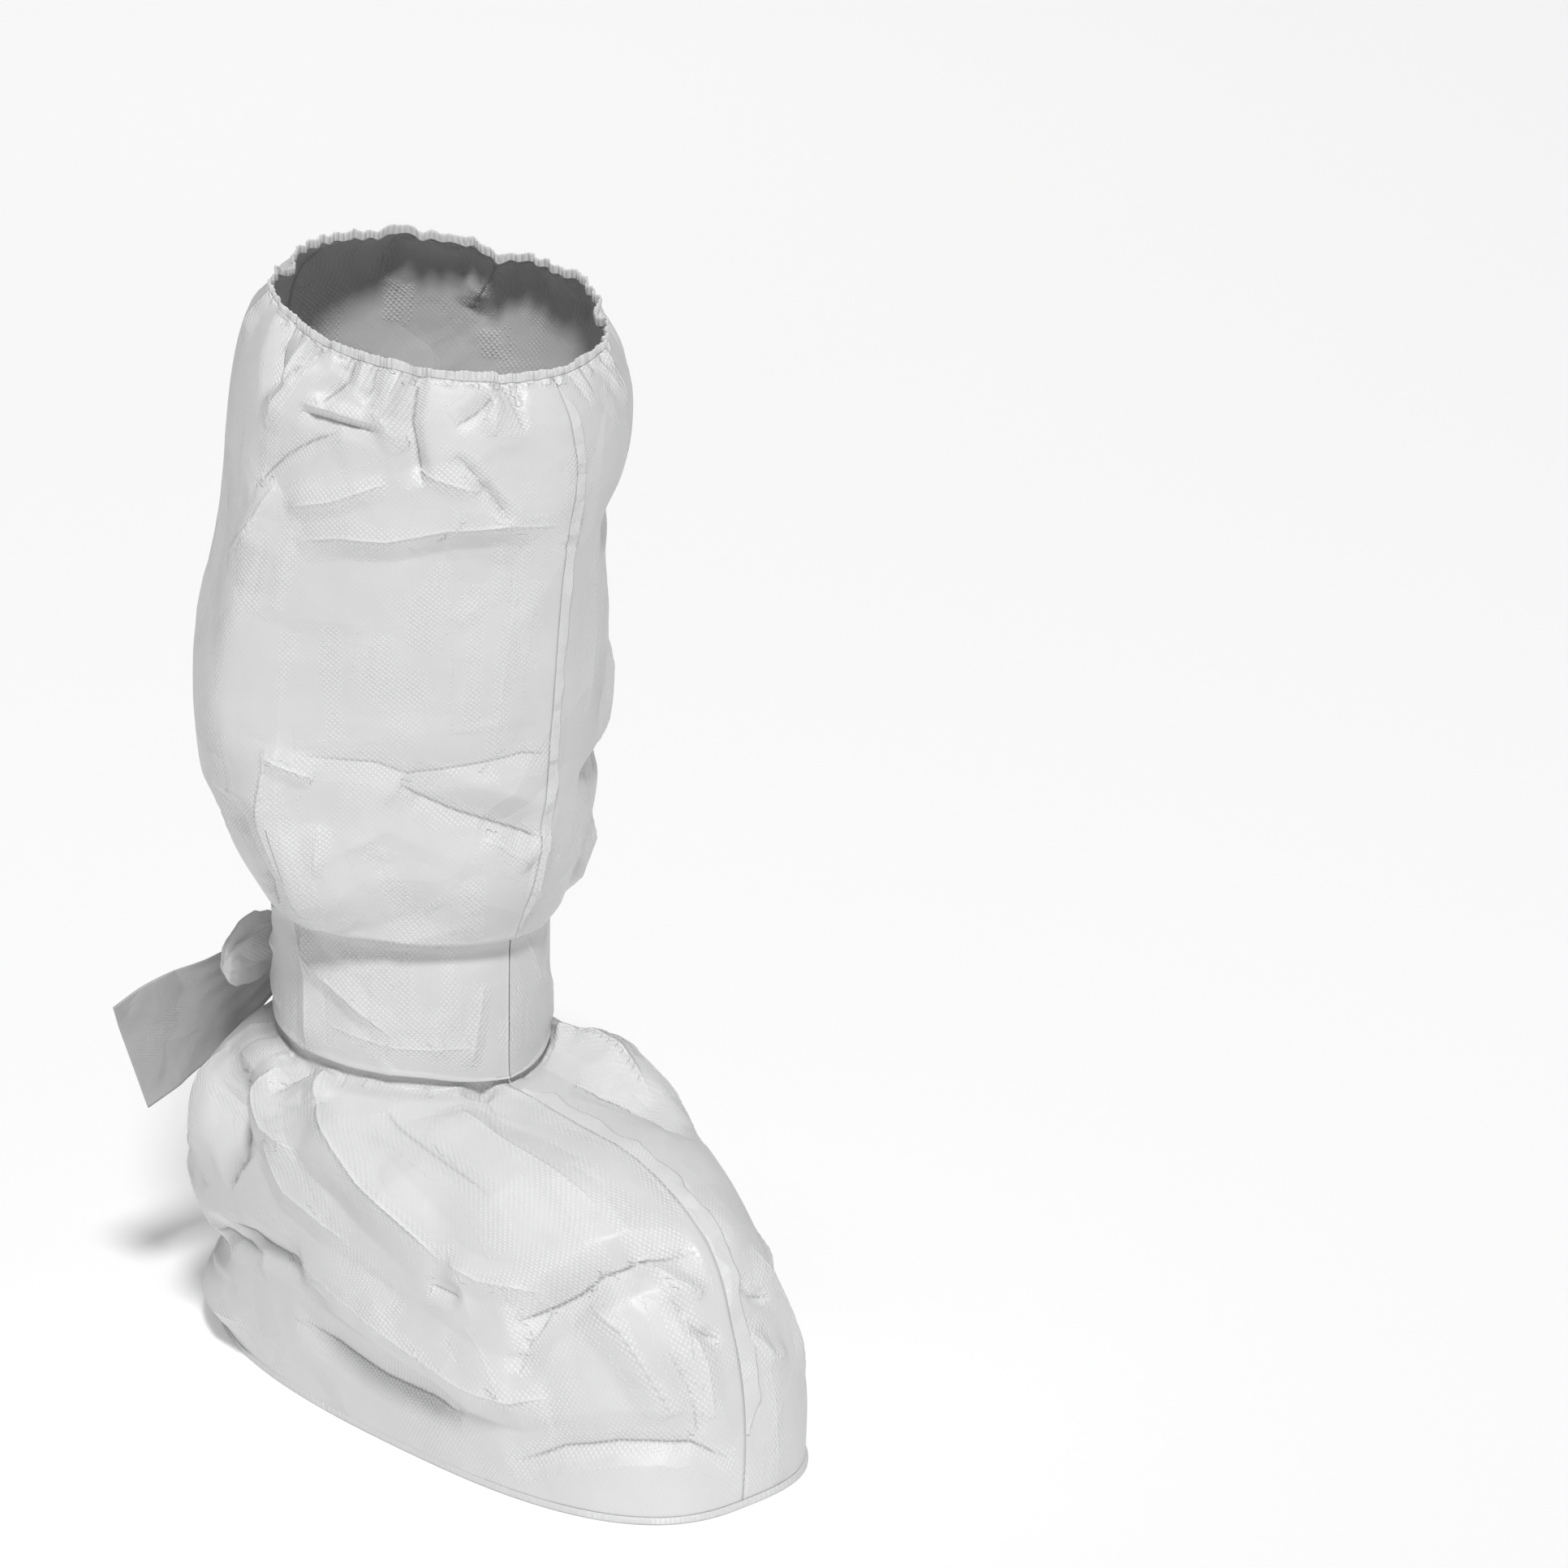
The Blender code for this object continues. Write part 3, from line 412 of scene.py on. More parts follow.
def give_thickness(sheet, thickness, offset=-1.0):
    """The cloth's thickness, applied."""
    wall = sheet.modifiers.new("thickness", "SOLIDIFY")
    wall.thickness = thickness
    wall.offset = offset
    wall.use_even_offset = False
    bpy.ops.object.select_all(action="DESELECT")
    sheet.select_set(True)
    bpy.context.view_layer.objects.active = sheet
    bpy.ops.object.modifier_apply(modifier=wall.name)


def link(tree, out_socket, in_socket):
    tree.links.new(out_socket, in_socket)


def math_node(tree, operation, first, second):
    """A Math node with sockets or numbers as its inputs."""
    node = tree.nodes.new("ShaderNodeMath")
    node.operation = operation
    for socket, value in zip(node.inputs, (first, second)):
        if isinstance(value, (int, float)):
            socket.default_value = value
        else:
            link(tree, value, socket)
    return node.outputs[0]


def new_group(name, inputs, outputs):
    """An empty node group with float or vector sockets."""
    group = bpy.data.node_groups.new(name, "ShaderNodeTree")
    for label, kind, value in inputs:
        socket = group.interface.new_socket(name=label, in_out="INPUT", socket_type=kind)
        if value is not None:
            socket.default_value = value
    for label, kind in outputs:
        group.interface.new_socket(name=label, in_out="OUTPUT", socket_type=kind)
    start = group.nodes.new("NodeGroupInput")
    end = group.nodes.new("NodeGroupOutput")
    return group, start, end


def range_node(tree, value, low, high, to_low, to_high, smooth=True):
    """A Map Range node, smooth or straight."""
    node = tree.nodes.new("ShaderNodeMapRange")
    if smooth:
        node.interpolation_type = "SMOOTHSTEP"
    link(tree, value, node.inputs["Value"])
    node.inputs["From Min"].default_value = low
    node.inputs["From Max"].default_value = high
    node.inputs["To Min"].default_value = to_low
    node.inputs["To Max"].default_value = to_high
    return node.outputs["Result"]


def noise_node(tree, place, scale, detail):
    """A Noise node that reads a place."""
    node = tree.nodes.new("ShaderNodeTexNoise")
    node.inputs["Scale"].default_value = scale
    node.inputs["Detail"].default_value = detail
    link(tree, place, node.inputs["Vector"])
    return node


def make_emboss():
    """Fine diamond embossing of the film, clearer in some patches and, by Boost, at creases."""
    group, start, end = new_group(
        "diamond_emboss",
        [("Cloth", "NodeSocketVector", None), ("Per metre", "NodeSocketFloat", 620.0),
         ("Boost", "NodeSocketFloat", 0.0)],
        [("Height", "NodeSocketFloat")])
    turned = group.nodes.new("ShaderNodeVectorRotate")
    turned.rotation_type = "Z_AXIS"
    turned.inputs["Angle"].default_value = math.radians(38)
    link(group, start.outputs["Cloth"], turned.inputs["Vector"])
    dots = group.nodes.new("ShaderNodeTexVoronoi")
    dots.voronoi_dimensions = "2D"
    dots.distance = "MANHATTAN"
    dots.inputs["Randomness"].default_value = 0.12
    link(group, turned.outputs["Vector"], dots.inputs["Vector"])
    link(group, start.outputs["Per metre"], dots.inputs["Scale"])
    raised = range_node(group, dots.outputs["Distance"], 0.15, 0.6, 1.0, 0.0)
    patches = noise_node(group, start.outputs["Cloth"], 22.0, 3.0)
    boosted = math_node(group, "ADD", patches.outputs["Fac"], start.outputs["Boost"])
    shown = range_node(group, boosted, 0.49, 0.66, 0.10, 1.0)
    link(group, math_node(group, "MULTIPLY", raised, shown), end.inputs["Height"])
    return group


def make_crumple():
    """Shallow bowls of handled film that meet in ridges and in valleys, clearer in patches."""
    group, start, end = new_group(
        "crumpled_film",
        [("Place", "NodeSocketVector", None), ("Per metre", "NodeSocketFloat", 30.0)],
        [("Height", "NodeSocketFloat"), ("Shade", "NodeSocketFloat")])
    warp = noise_node(group, start.outputs["Place"], 14.0, 2.0)
    shift = group.nodes.new("ShaderNodeVectorMath")
    shift.operation = "MULTIPLY_ADD"
    link(group, warp.outputs["Color"], shift.inputs[0])
    shift.inputs[1].default_value = (0.03, 0.03, 0.03)
    link(group, start.outputs["Place"], shift.inputs[2])
    total = None
    for scale, share in ((1.0, 1.0), (1.35, -0.75), (3.3, 0.10), (4.1, -0.09)):
        bowls = group.nodes.new("ShaderNodeTexVoronoi")
        link(group, shift.outputs[0], bowls.inputs["Vector"])
        link(group, math_node(group, "MULTIPLY", start.outputs["Per metre"], scale), bowls.inputs["Scale"])
        squared = math_node(group, "MULTIPLY", bowls.outputs["Distance"], bowls.outputs["Distance"])
        part = math_node(group, "MULTIPLY", squared, share)
        total = part if total is None else math_node(group, "ADD", total, part)
    patches = noise_node(group, start.outputs["Place"], 9.0, 1.0)
    shown = range_node(group, patches.outputs["Fac"], 0.38, 0.62, 0.35, 1.0)
    link(group, math_node(group, "MULTIPLY", total, shown), end.inputs["Height"])
    tone = noise_node(group, start.outputs["Place"], 40.0, 5.0)
    link(group, tone.outputs["Fac"], end.inputs["Shade"])
    return group


def make_pressed_crease():
    """Height of a crease pressed into the film, and how near it is, from the cloth's second UV map."""
    group, start, end = new_group("pressed_crease", [("Creases", "NodeSocketVector", None)],
                                  [("Height", "NodeSocketFloat"), ("Nearness", "NodeSocketFloat")])
    split = group.nodes.new("ShaderNodeSeparateXYZ")
    link(group, start.outputs["Creases"], split.inputs[0])
    apart = math_node(group, "ABSOLUTE", split.outputs["X"], 0.0)
    near = range_node(group, apart, 0.0, 1.5, 1.0, 0.0, smooth=False)
    profile = math_node(group, "POWER", near, 1.7)
    link(group, math_node(group, "MULTIPLY", profile, split.outputs["Y"]), end.inputs["Height"])
    link(group, range_node(group, apart, 1.0, 7.5, 0.20, -0.02), end.inputs["Nearness"])
    return group


EMBOSS = make_emboss()
CRUMPLE = make_crumple()
PRESSED = make_pressed_crease()
# How the film's white follows its random mottling, and painted light: a painted sparkle on its raised
# embossing, painted highlights on the ridges of its creases, partly their real stress whitening, and painted
# shade in their valleys
MOTTLE_BASE = 0.24
MOTTLE_SHARE = 0.5
EMBOSS_PAINTED_SPARKLE = 0.75
CREASE_STRESS_WHITE_AND_PAINTED_LIGHT = 0.8


def film_material(name, colour, roughness, facet_mm, facets_per_metre, emboss_mm, emboss_per_metre=620.0,
                  creased=False):
    """White laminate: satin film over nonwoven, with its facets and its embossing as bump."""
    material = bpy.data.materials.new(name)
    material.use_nodes = True
    tree = material.node_tree
    shader = tree.nodes["Principled BSDF"]
    place = tree.nodes.new("ShaderNodeTexCoord")
    cloth = tree.nodes.new("ShaderNodeUVMap")
    cloth.uv_map = "UVMap"
    crumple = tree.nodes.new("ShaderNodeGroup")
    crumple.node_tree = CRUMPLE
    link(tree, place.outputs["Object"], crumple.inputs["Place"])
    crumple.inputs["Per metre"].default_value = facets_per_metre
    emboss = tree.nodes.new("ShaderNodeGroup")
    emboss.node_tree = EMBOSS
    link(tree, cloth.outputs["UV"], emboss.inputs["Cloth"])
    emboss.inputs["Per metre"].default_value = emboss_per_metre
    facets = math_node(tree, "MULTIPLY", crumple.outputs["Height"], facet_mm)
    pressed = math_node(tree, "MULTIPLY", emboss.outputs["Height"], emboss_mm)
    relief = math_node(tree, "ADD", facets, pressed)
    # The colour's mix factor: random mottling, plus painted light from the embossing and the creases
    mottle_and_painted_light = math_node(tree, "MULTIPLY_ADD", crumple.outputs["Shade"], MOTTLE_SHARE)
    mottle_and_painted_light.node.inputs[2].default_value = MOTTLE_BASE
    # Painted sparkle: the raised emboss dots are made lighter in colour, standing in for glints of light on
    # them
    painted_light_and_whitening = math_node(tree, "MULTIPLY", emboss.outputs["Height"], EMBOSS_PAINTED_SPARKLE)
    mottle_and_painted_light = math_node(tree, "ADD", mottle_and_painted_light, painted_light_and_whitening)
    if creased:
        creases = tree.nodes.new("ShaderNodeUVMap")
        creases.uv_map = "creases"
        lines = tree.nodes.new("ShaderNodeGroup")
        lines.node_tree = PRESSED
        link(tree, creases.outputs["UV"], lines.inputs["Creases"])
        link(tree, lines.outputs["Nearness"], emboss.inputs["Boost"])
        relief = math_node(tree, "ADD", relief, lines.outputs["Height"])
        # Pressed creases tint the colour: ridges lighter, partly the film's stress whitening and partly
        # painted highlight, and valleys darker as painted shade
        painted_light_and_whitening = math_node(tree, "MULTIPLY", lines.outputs["Height"], CREASE_STRESS_WHITE_AND_PAINTED_LIGHT)
        mottle_and_painted_light = math_node(tree, "ADD", mottle_and_painted_light, painted_light_and_whitening)
    bump = tree.nodes.new("ShaderNodeBump")
    bump.inputs["Strength"].default_value = 1.0
    bump.inputs["Distance"].default_value = MM
    link(tree, relief, bump.inputs["Height"])
    link(tree, bump.outputs["Normal"], shader.inputs["Normal"])
    tone = tree.nodes.new("ShaderNodeMix")
    tone.data_type = "RGBA"
    link(tree, mottle_and_painted_light, tone.inputs["Factor"])
    tone.inputs["A"].default_value = (*[c * 0.86 for c in colour], 1.0)
    tone.inputs["B"].default_value = (*[min(c * 1.14, 0.95) for c in colour], 1.0)
    link(tree, tone.outputs["Result"], shader.inputs["Base Color"])
    satin = range_node(tree, crumple.outputs["Shade"], 0.3, 0.7, roughness - 0.05, roughness + 0.07)
    link(tree, satin, shader.inputs["Roughness"])
    shader.inputs["Metallic"].default_value = 0.0
    shader.inputs["IOR"].default_value = 1.46
    return material


def join_to_part(piece, node, material):
    """The piece takes the place of its CAD node and moves with the part."""
    piece.data.materials.clear()
    piece.data.materials.append(material)
    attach(piece, "root")
    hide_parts(node)


PANEL_FILM = film_material("panel_laminate", (0.74, 0.74, 0.745), roughness=0.41, facet_mm=2.4,
                           facets_per_metre=24.0, emboss_mm=0.17, creased=True)
PANEL_LINES = 262
PANEL_COLUMNS = 166
LEG_FLAT = (0.30, 0.32)
LEG_AREA = 0.076
FOOT_FLAT = (0.42, 0.24)
FOOT_AREA = 0.068
for name, side, first_row, last_row, flat, area in (
        ("leg_near", 1, 0.0, JOIN_ROW, LEG_FLAT, LEG_AREA),
        ("leg_far", -1, 0.0, JOIN_ROW, LEG_FLAT, LEG_AREA),
        ("foot_near", 1, JOIN_ROW, LAST_ROW, FOOT_FLAT, FOOT_AREA),
        ("foot_far", -1, JOIN_ROW, LAST_ROW, FOOT_FLAT, FOOT_AREA)):
    rows, angles, across, drop = panel_grid(side, first_row, last_row, PANEL_LINES, PANEL_COLUMNS)
    points, crease = cover_points(rows.ravel(), angles.ravel())
    panel = sheet_from_grid(name + "_panel", points, across, drop, side > 0, crease)
    give_thickness(panel, FILM)
    join_to_part(panel, name, PANEL_FILM)

# Seams
# At the front the two panels are welded edge to edge, and the allowance, a doubled strip of
# laminate a few millimetres wide, stays outside and lies over towards the far side. It is
# puckered where it turns over the instep and the toe.
SEAM_COLUMNS = ("name", "first_row", "last_row", "width", "lean", "sway", "pucker")
SEAMS = (
    ("leg_seam", 0.30, 6.85, 4.4 * MM, 83.0, 8.0, 0.2 * MM),
    ("foot_seam", 9.90, 15.10, 8.0 * MM, 85.0, 12.0, 0.7 * MM),
)
SEAM_FILM = film_material("seam_laminate", (0.745, 0.745, 0.75), roughness=0.40, facet_mm=1.8,
                          facets_per_metre=70.0, emboss_mm=0.14)
SEAM_LINES = 420
SEAM_STEPS_ACROSS = 12


def wander(rng, along, step):
    """Smooth random values between -1 and 1 along a run of places in metres."""
    knots = np.arange(along.min() - step, along.max() + 3 * step, step)
    values = rng.uniform(-1, 1, len(knots))
    f = (along - knots[0]) / step
    low = f.astype(int)
    f = f - low
    f = f * f * (3 - 2 * f)
    return values[low] * (1 - f) + values[low + 1] * f


def length_along(line):
    """Length along a line of points, from the first of them to each."""
    return np.append(0, np.cumsum(np.linalg.norm(np.diff(line, axis=0), axis=1)))


for values in SEAMS:
    seam = dict(zip(SEAM_COLUMNS, values))
    rows = np.linspace(seam["first_row"], seam["last_row"], SEAM_LINES)
    line = cover_points(rows, np.zeros(SEAM_LINES))[0]
    normal = cover_normal(rows, np.zeros(SEAM_LINES))
    along = length_along(line)
    lean = np.radians(seam["lean"] - seam["sway"] * (0.5 + 0.5 * wander(rng, along, 0.013)))[:, None]
    aside = np.array([1.0, 0.0, 0.0])
    up = np.cos(lean) * normal + np.sin(lean) * aside
    over = -np.sin(lean) * normal + np.cos(lean) * aside
    width = seam["width"] * (1 + 0.16 * wander(rng, along, 0.025) + 0.14 * wander(rng, along, 0.007))
    width *= np.clip(np.minimum(along, along[-1] - along) / 0.012, 0.25, 1)
    waves = seam["pucker"] * (0.5 * wander(rng, along, 0.006) + wander(rng, along, 0.014) + 0.6)
    share = np.linspace(0, 1, SEAM_STEPS_ACROSS)
    root = line + normal * 0.24 * MM
    rise = width[:, None] * share[None, :]
    wave = waves[:, None] * share[None, :] ** 1.2
    curl = 0.10 * width[:, None] * share[None, :] ** 2
    points = (root[:, None, :] + up[:, None, :] * rise[:, :, None]
              - over[:, None, :] * (wave - curl)[:, :, None])
    strip = sheet_from_grid(seam["name"] + "_strip", points, rise,
                            np.repeat(along[:, None], SEAM_STEPS_ACROSS, axis=1), False)
    give_thickness(strip, 0.45 * MM, 0.0)
    join_to_part(strip, seam["name"], SEAM_FILM)

# Rim
# The top edge is turned over an elastic thread and gathered, so it stands up as a narrow frill
# of fine, uneven ruffles round the opening.
HEM_HEIGHT = 3.8 * MM
HEM_THICKNESS = 1.2 * MM
HEM_RUFFLE = 2.5 * MM
HEM_FILM = film_material("gathered_laminate", (0.745, 0.745, 0.75), roughness=0.45, facet_mm=0.6,
                         facets_per_metre=90.0, emboss_mm=0.05)


def level_outwards(row, turns):
    """Level unit directions out of the cover, all round one row."""
    out = cover_normal(np.full(len(turns), row), turns)
    out[:, 2] = 0
    return out / np.linalg.norm(out, axis=1, keepdims=True)


turns = np.linspace(-180, 180, 1441)[:-1]
rim = cover_points(np.zeros(len(turns)), turns)[0]
out = level_outwards(0.0, turns)
along = length_along(np.vstack([rim, rim[:1]]))
around = along[-1]
along = along[:-1]
phase = 2 * math.pi * (along / HEM_RUFFLE)
closing = np.clip(np.minimum(along, around - along) / 0.01, 0, 1)
phase = phase + 3.2 * wander(rng, along, 0.009) * closing
phase *= round(phase[-1] / (2 * math.pi)) * 2 * math.pi / (phase[-1] + phase[1] - phase[0])
ruffle = np.arcsin(np.sin(phase) * 0.96) / 1.3
size = 0.75 + 0.5 * wander(rng, along, 0.007) * closing
top = (0.6 * wander(rng, along, 0.0045) + 0.5 * wander(rng, along, 0.015)) * closing
# Section of the rolled edge: outwards in half thicknesses, up in shares of the height, and how
# much of the ruffle it takes
HEM_SECTION = ((-0.5, 0.0, 0.15), (0.5, 0.0, 0.15), (0.62, 0.15, 0.35), (0.55, 0.32, 0.55), (0.75, 0.50, 0.8),
               (0.6, 0.72, 1.05), (0.4, 0.90, 1.2), (0.1, 1.0, 1.25), (-0.25, 0.97, 1.2), (-0.5, 0.80, 1.1),
               (-0.65, 0.55, 0.85), (-0.6, 0.30, 0.5), (-0.65, 0.12, 0.3))
rings = []
for outwards, up, share in HEM_SECTION:
    ring = rim + out * (outwards * HEM_THICKNESS / 2 + share * ruffle * size * 0.5 * MM - 0.25 * MM)[:, None]
    ring[:, 2] += 0.1 * MM + up * (HEM_HEIGHT + 0.8 * top * MM)
    rings.append(ring)
rings.append(rings[0].copy())
points = np.array(rings)
points = np.concatenate([points, points[:, :1]], axis=1)[::-1]
lines, columns = points.shape[:2]
hem = sheet_from_grid("rim_frill", points, np.repeat(np.append(along, around)[None, :], lines, axis=0),
                      np.repeat(np.linspace(0, 2 * HEM_HEIGHT, lines)[:, None], columns, axis=1), False)


def close_doubles(piece, distance=0.02 * MM, fill_holes=False):
    """Joins the edges of a sheet that meet, fills its holes if asked, and turns its faces outwards."""
    mesh = bmesh.new()
    mesh.from_mesh(piece.data)
    bmesh.ops.remove_doubles(mesh, verts=mesh.verts, dist=distance)
    if fill_holes:
        bmesh.ops.holes_fill(mesh, edges=[e for e in mesh.edges if e.is_boundary], sides=0)
    bmesh.ops.recalc_face_normals(mesh, faces=mesh.faces)
    mesh.to_mesh(piece.data)
    mesh.free()


close_doubles(hem)
join_to_part(hem, "elastic_hem", HEM_FILM)

# Sole
# A flat panel of the same laminate, a little darker and duller, is joined to the lower edge of
# the foot all round and shows as a narrow rim, widest along the toe.
SOLE_THICKNESS = 1.8 * MM
SOLE_RIM = 1.6 * MM
SOLE_INNER_RINGS = (0.02, 0.35, 0.7)
SOLE_FILM = film_material("sole_laminate", (0.71, 0.71, 0.716), roughness=0.5, facet_mm=0.8,
                          facets_per_metre=40.0, emboss_mm=0.08, emboss_per_metre=500.0)
turns = np.linspace(-180, 180, 721)[:-1]
edge = smooth_cover(np.full(len(turns), LAST_ROW), turns)
out = level_outwards(LAST_ROW, turns)
# Section of the panel's edge: outwards from the outline, then height, in shares of the rim and
# of the thickness; the flat top and underside close to the middle
SOLE_EDGE = ((-4.0, 1.0), (-1.0, 1.0), (0.04, 1.0), (0.10, 1.35), (0.45, 1.5), (0.8, 1.3), (1.0, 0.8),
             (1.0, 0.35), (0.85, 0.08), (0.3, 0.0), (-1.0, 0.0), (-4.0, 0.0))


def drawn_in(outline, shares, height):
    """Copies of an outline drawn in towards its middle, at one height."""
    middle = outline.mean(axis=0)
    rings = []
    for share in shares:
        ring = middle + (outline - middle) * share
        ring[:, 2] = height
        rings.append(ring)
    return rings


rings = drawn_in(edge, SOLE_INNER_RINGS, SOLE_THICKNESS)
rim_share = 0.55 + 0.45 * np.clip((np.cos(np.radians(turns)) - 0.1) / 0.6, 0, 1)
for outwards, height in SOLE_EDGE:
    reach = outwards * SOLE_RIM * (rim_share if outwards > 0.2 else np.ones(len(turns)))
    ring = edge + out * reach[:, None]
    ring[:, 2] = height * SOLE_THICKNESS
    rings.append(ring)
rings += drawn_in(edge, SOLE_INNER_RINGS[::-1], 0.0)
points = np.array(rings)
points = np.concatenate([points, points[:, :1]], axis=1)
sole = sheet_from_grid("sole_sheet", points, points[:, :, 0], points[:, :, 1], False)
close_doubles(sole, 0.01 * MM, fill_holes=True)
join_to_part(sole, "sole_panel", SOLE_FILM)

# Ankle tie
# A strip of the same laminate, about 63 mm wide, is sewn to the front seam, wound round the
# ankle and drawn together to the knot at the back. Each side is one strip with a folded edge.
TIE_GAP = 2.0 * MM
TIE_WIDTH = 0.063
TIE_FILM = film_material("tie_laminate", (0.74, 0.74, 0.745), roughness=0.41, facet_mm=1.8,
                         facets_per_metre=30.0, emboss_mm=0.15, creased=True)
TIE_LINES = 50
TIE_COLUMNS = 250
TIE_FRONT_COLUMNS = 24
TIE_CREASES = (
    (((104, 8.02), (88, 8.3), (68, 8.45), (50, 8.62)), 1.5, 9, 6),
    (((89, 8.05), (90, 8.9)), 1.6, 12, 7),
    (((14, 8.3), (20, 8.8)), 0.7, 4, 5),
    (((80, 8.62), (50, 8.68), (16, 8.66)), 0.4, 5, 9),
    (((-10, 8.1), (-24, 8.4), (-40, 8.5)), 0.9, 6, 6),
    (((-40, 8.45), (-50, 8.85)), 1.3, 6, 6),
    (((-60, 8.15), (-84, 8.5)), 1.2, 8, 7),
    (((-92, 8.3), (-120, 8.6), (-150, 8.6)), 1.1, 7, 6),
    (((112, 8.7), (140, 8.65), (172, 8.6)), 1.1, 6, 6),
    (((120, 8.4), (150, 8.5), (174, 8.6)), 1.0, 5, 5),
    (((-104, 8.75), (-140, 8.7), (-172, 8.7)), 0.9, 5, 5),
)
TIE_SMALL = chance_folds(rng, 40, (8.1, 8.9), (-175, 175), (0.1, 0.3), (3, 8), (0.01, 0.03))


def tie_rows(angles):
    """Top and bottom rows of the tie: full width at the front, drawn together at the back."""
    back = np.clip((np.abs(angles) - 95.0) / 75.0, 0, 1) ** 1.5
    front = np.clip(1 - np.abs(angles) / 38.0, 0, 1) ** 1.3
    return 8.08 + 0.40 * back, 8.91 + 0.20 * front - 0.08 * back, back


# Each half of the tie, with the height of the welt at its front end and the panels beneath it
for name, side, welt_height, panels in (
        ("tie_near", 1, 0.9 * MM, ["leg_near_panel", "foot_near_panel"]),
        ("tie_far", -1, 0.3 * MM, ["leg_far_panel", "foot_far_panel"])):
    angles = side * np.append(np.linspace(0.5, 6, TIE_FRONT_COLUMNS),
                              np.linspace(6.6, 177, TIE_COLUMNS - TIE_FRONT_COLUMNS))
    top, bottom, back = tie_rows(angles)
    share = np.linspace(0, 1, TIE_LINES)[:, None]
    waist = 0.012 * wander(rng, np.abs(angles) * MM, 0.011)[None, :]
    rows = top[None, :] + share * (bottom - top)[None, :] + waist * (1 - np.abs(2 * share - 1) * 0.3)
    spread = np.repeat(angles[None, :], TIE_LINES, axis=0)
    base = smooth_cover(rows.ravel(), spread.ravel())
    lift = np.zeros(len(base))
    crease = np.zeros((len(base), 2))
    crease[:, 0] = FAR_FROM_CREASES
    for folds, strength, press in ((TIE_CREASES, 1.3, 0.9), (TIE_SMALL, 1.0, 0.4)):
        add_folds(base, rows.ravel(), folds, 0.4 * MM, 1.1, strength, press, lift, crease)
    lift = np.abs(lift).reshape(TIE_LINES, TIE_COLUMNS)
    hemmed = 0.45 * MM * np.clip((np.abs(2 * share - 1) - 0.86) / 0.05, 0, 1)
    pleats = 0.55 * MM * back[None, :] * (1 + np.cos(2 * math.pi * (5.0 * share + 0.9 * back[None, :])))
    welt = welt_height * np.exp(-np.abs(angles) / 1.6)[None, :]
    lift = lift + hemmed + pleats + welt
    normal = cover_normal(rows.ravel(), spread.ravel())
    points = base + normal * (TIE_GAP + lift.ravel())[:, None]
    along = length_along(points.reshape(TIE_LINES, TIE_COLUMNS, 3)[TIE_LINES // 2])
    tie = sheet_from_grid(name + "_strip", points, np.repeat(along[None, :], TIE_LINES, axis=0),
                          np.repeat(share * TIE_WIDTH, TIE_COLUMNS, axis=1), side > 0, crease)
    give_thickness(tie, 0.8 * MM)
    join_to_part(tie, name, TIE_FILM)

# Knot
# The two strips are tied behind the ankle, and the knot shows as a puffed roll of folded
# laminate that narrows where the strips are pulled tight.
# The loop is a little wider and deeper than its solid, and lower at the top.
knot_low, knot_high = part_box("tie_knot")
knot_low.x -= 4.0 * MM
knot_high.y += 2.0 * MM
knot_high.z -= 5.0 * MM
# The knot's film is a lighter copy of the tie's laminate: painted light, standing in for the knot's bright
# sparkle
KNOT_PAINTED_LIGHT_FILM = film_material("painted_light_knot_laminate", (0.79, 0.79, 0.796), roughness=0.38, facet_mm=2.4,
                          facets_per_metre=75.0, emboss_mm=0.24)
# Sections of the roll: place along it, height, thickness and lift, in shares of the knot's size
KNOT_SECTIONS = np.array((
    (0.00, 0.00, 0.00, 0.00), (0.01, 0.26, 0.34, 0.00), (0.04, 0.44, 0.52, 0.00),
    (0.12, 0.60, 0.70, 0.01), (0.22, 0.62, 0.74, 0.00), (0.30, 0.52, 0.66, -0.01),
    (0.38, 0.68, 0.80, 0.00), (0.52, 0.94, 0.94, 0.00), (0.66, 1.04, 1.00, -0.03),
    (0.80, 1.00, 0.96, -0.08), (0.90, 0.84, 0.80, -0.12), (0.96, 0.60, 0.58, -0.15),
    (0.99, 0.32, 0.32, -0.17), (1.00, 0.00, 0.00, -0.18)))
# Its folds: depth, how many there are round the roll, how they twist along it, and where they start
KNOT_FOLDS = ((0.10, 4, 3.2, 0.0), (0.08, 7, -5, 1.0), (0.04, 5, 17, 0.0))
KNOT_SLACK = 0.16
KNOT_CLOTH_ROUND = 0.016
KNOT_CLOTH_ALONG = 0.05
steps = (1 - np.cos(np.linspace(0, math.pi, 90))) / 2
height, thickness, lift = (np.interp(steps, KNOT_SECTIONS[:, 0], KNOT_SECTIONS[:, k]) for k in (1, 2, 3))
turns = np.linspace(0, 2 * math.pi, 145)
half_high = (knot_high.z - knot_low.z) / 2
half_thick = (knot_high.y - knot_low.y) / 2
u, v = np.meshgrid(steps, turns, indexing="ij")
folds = sum(depth * np.arcsin(np.sin(count * v + twist * u + start))
            for depth, count, twist, start in KNOT_FOLDS)
swell = 1 - KNOT_SLACK + folds * (1 - 0.5 * np.cos(v) ** 2)
x = knot_high.x - u * (knot_high.x - knot_low.x)
y = knot_low.y + half_thick + np.cos(v) * half_thick * thickness[:, None] * swell
flattened = knot_low.y + half_thick * (1 + np.cos(v) * np.minimum(thickness[:, None] * swell, 1.0))
y = np.where(np.cos(v) < 0, flattened, y)
z = ((knot_high.z + knot_low.z) / 2 + lift[:, None] * 2 * half_high
     + np.sin(v) * half_high * height[:, None] * swell)
points = np.stack([x, y, z], axis=-1)
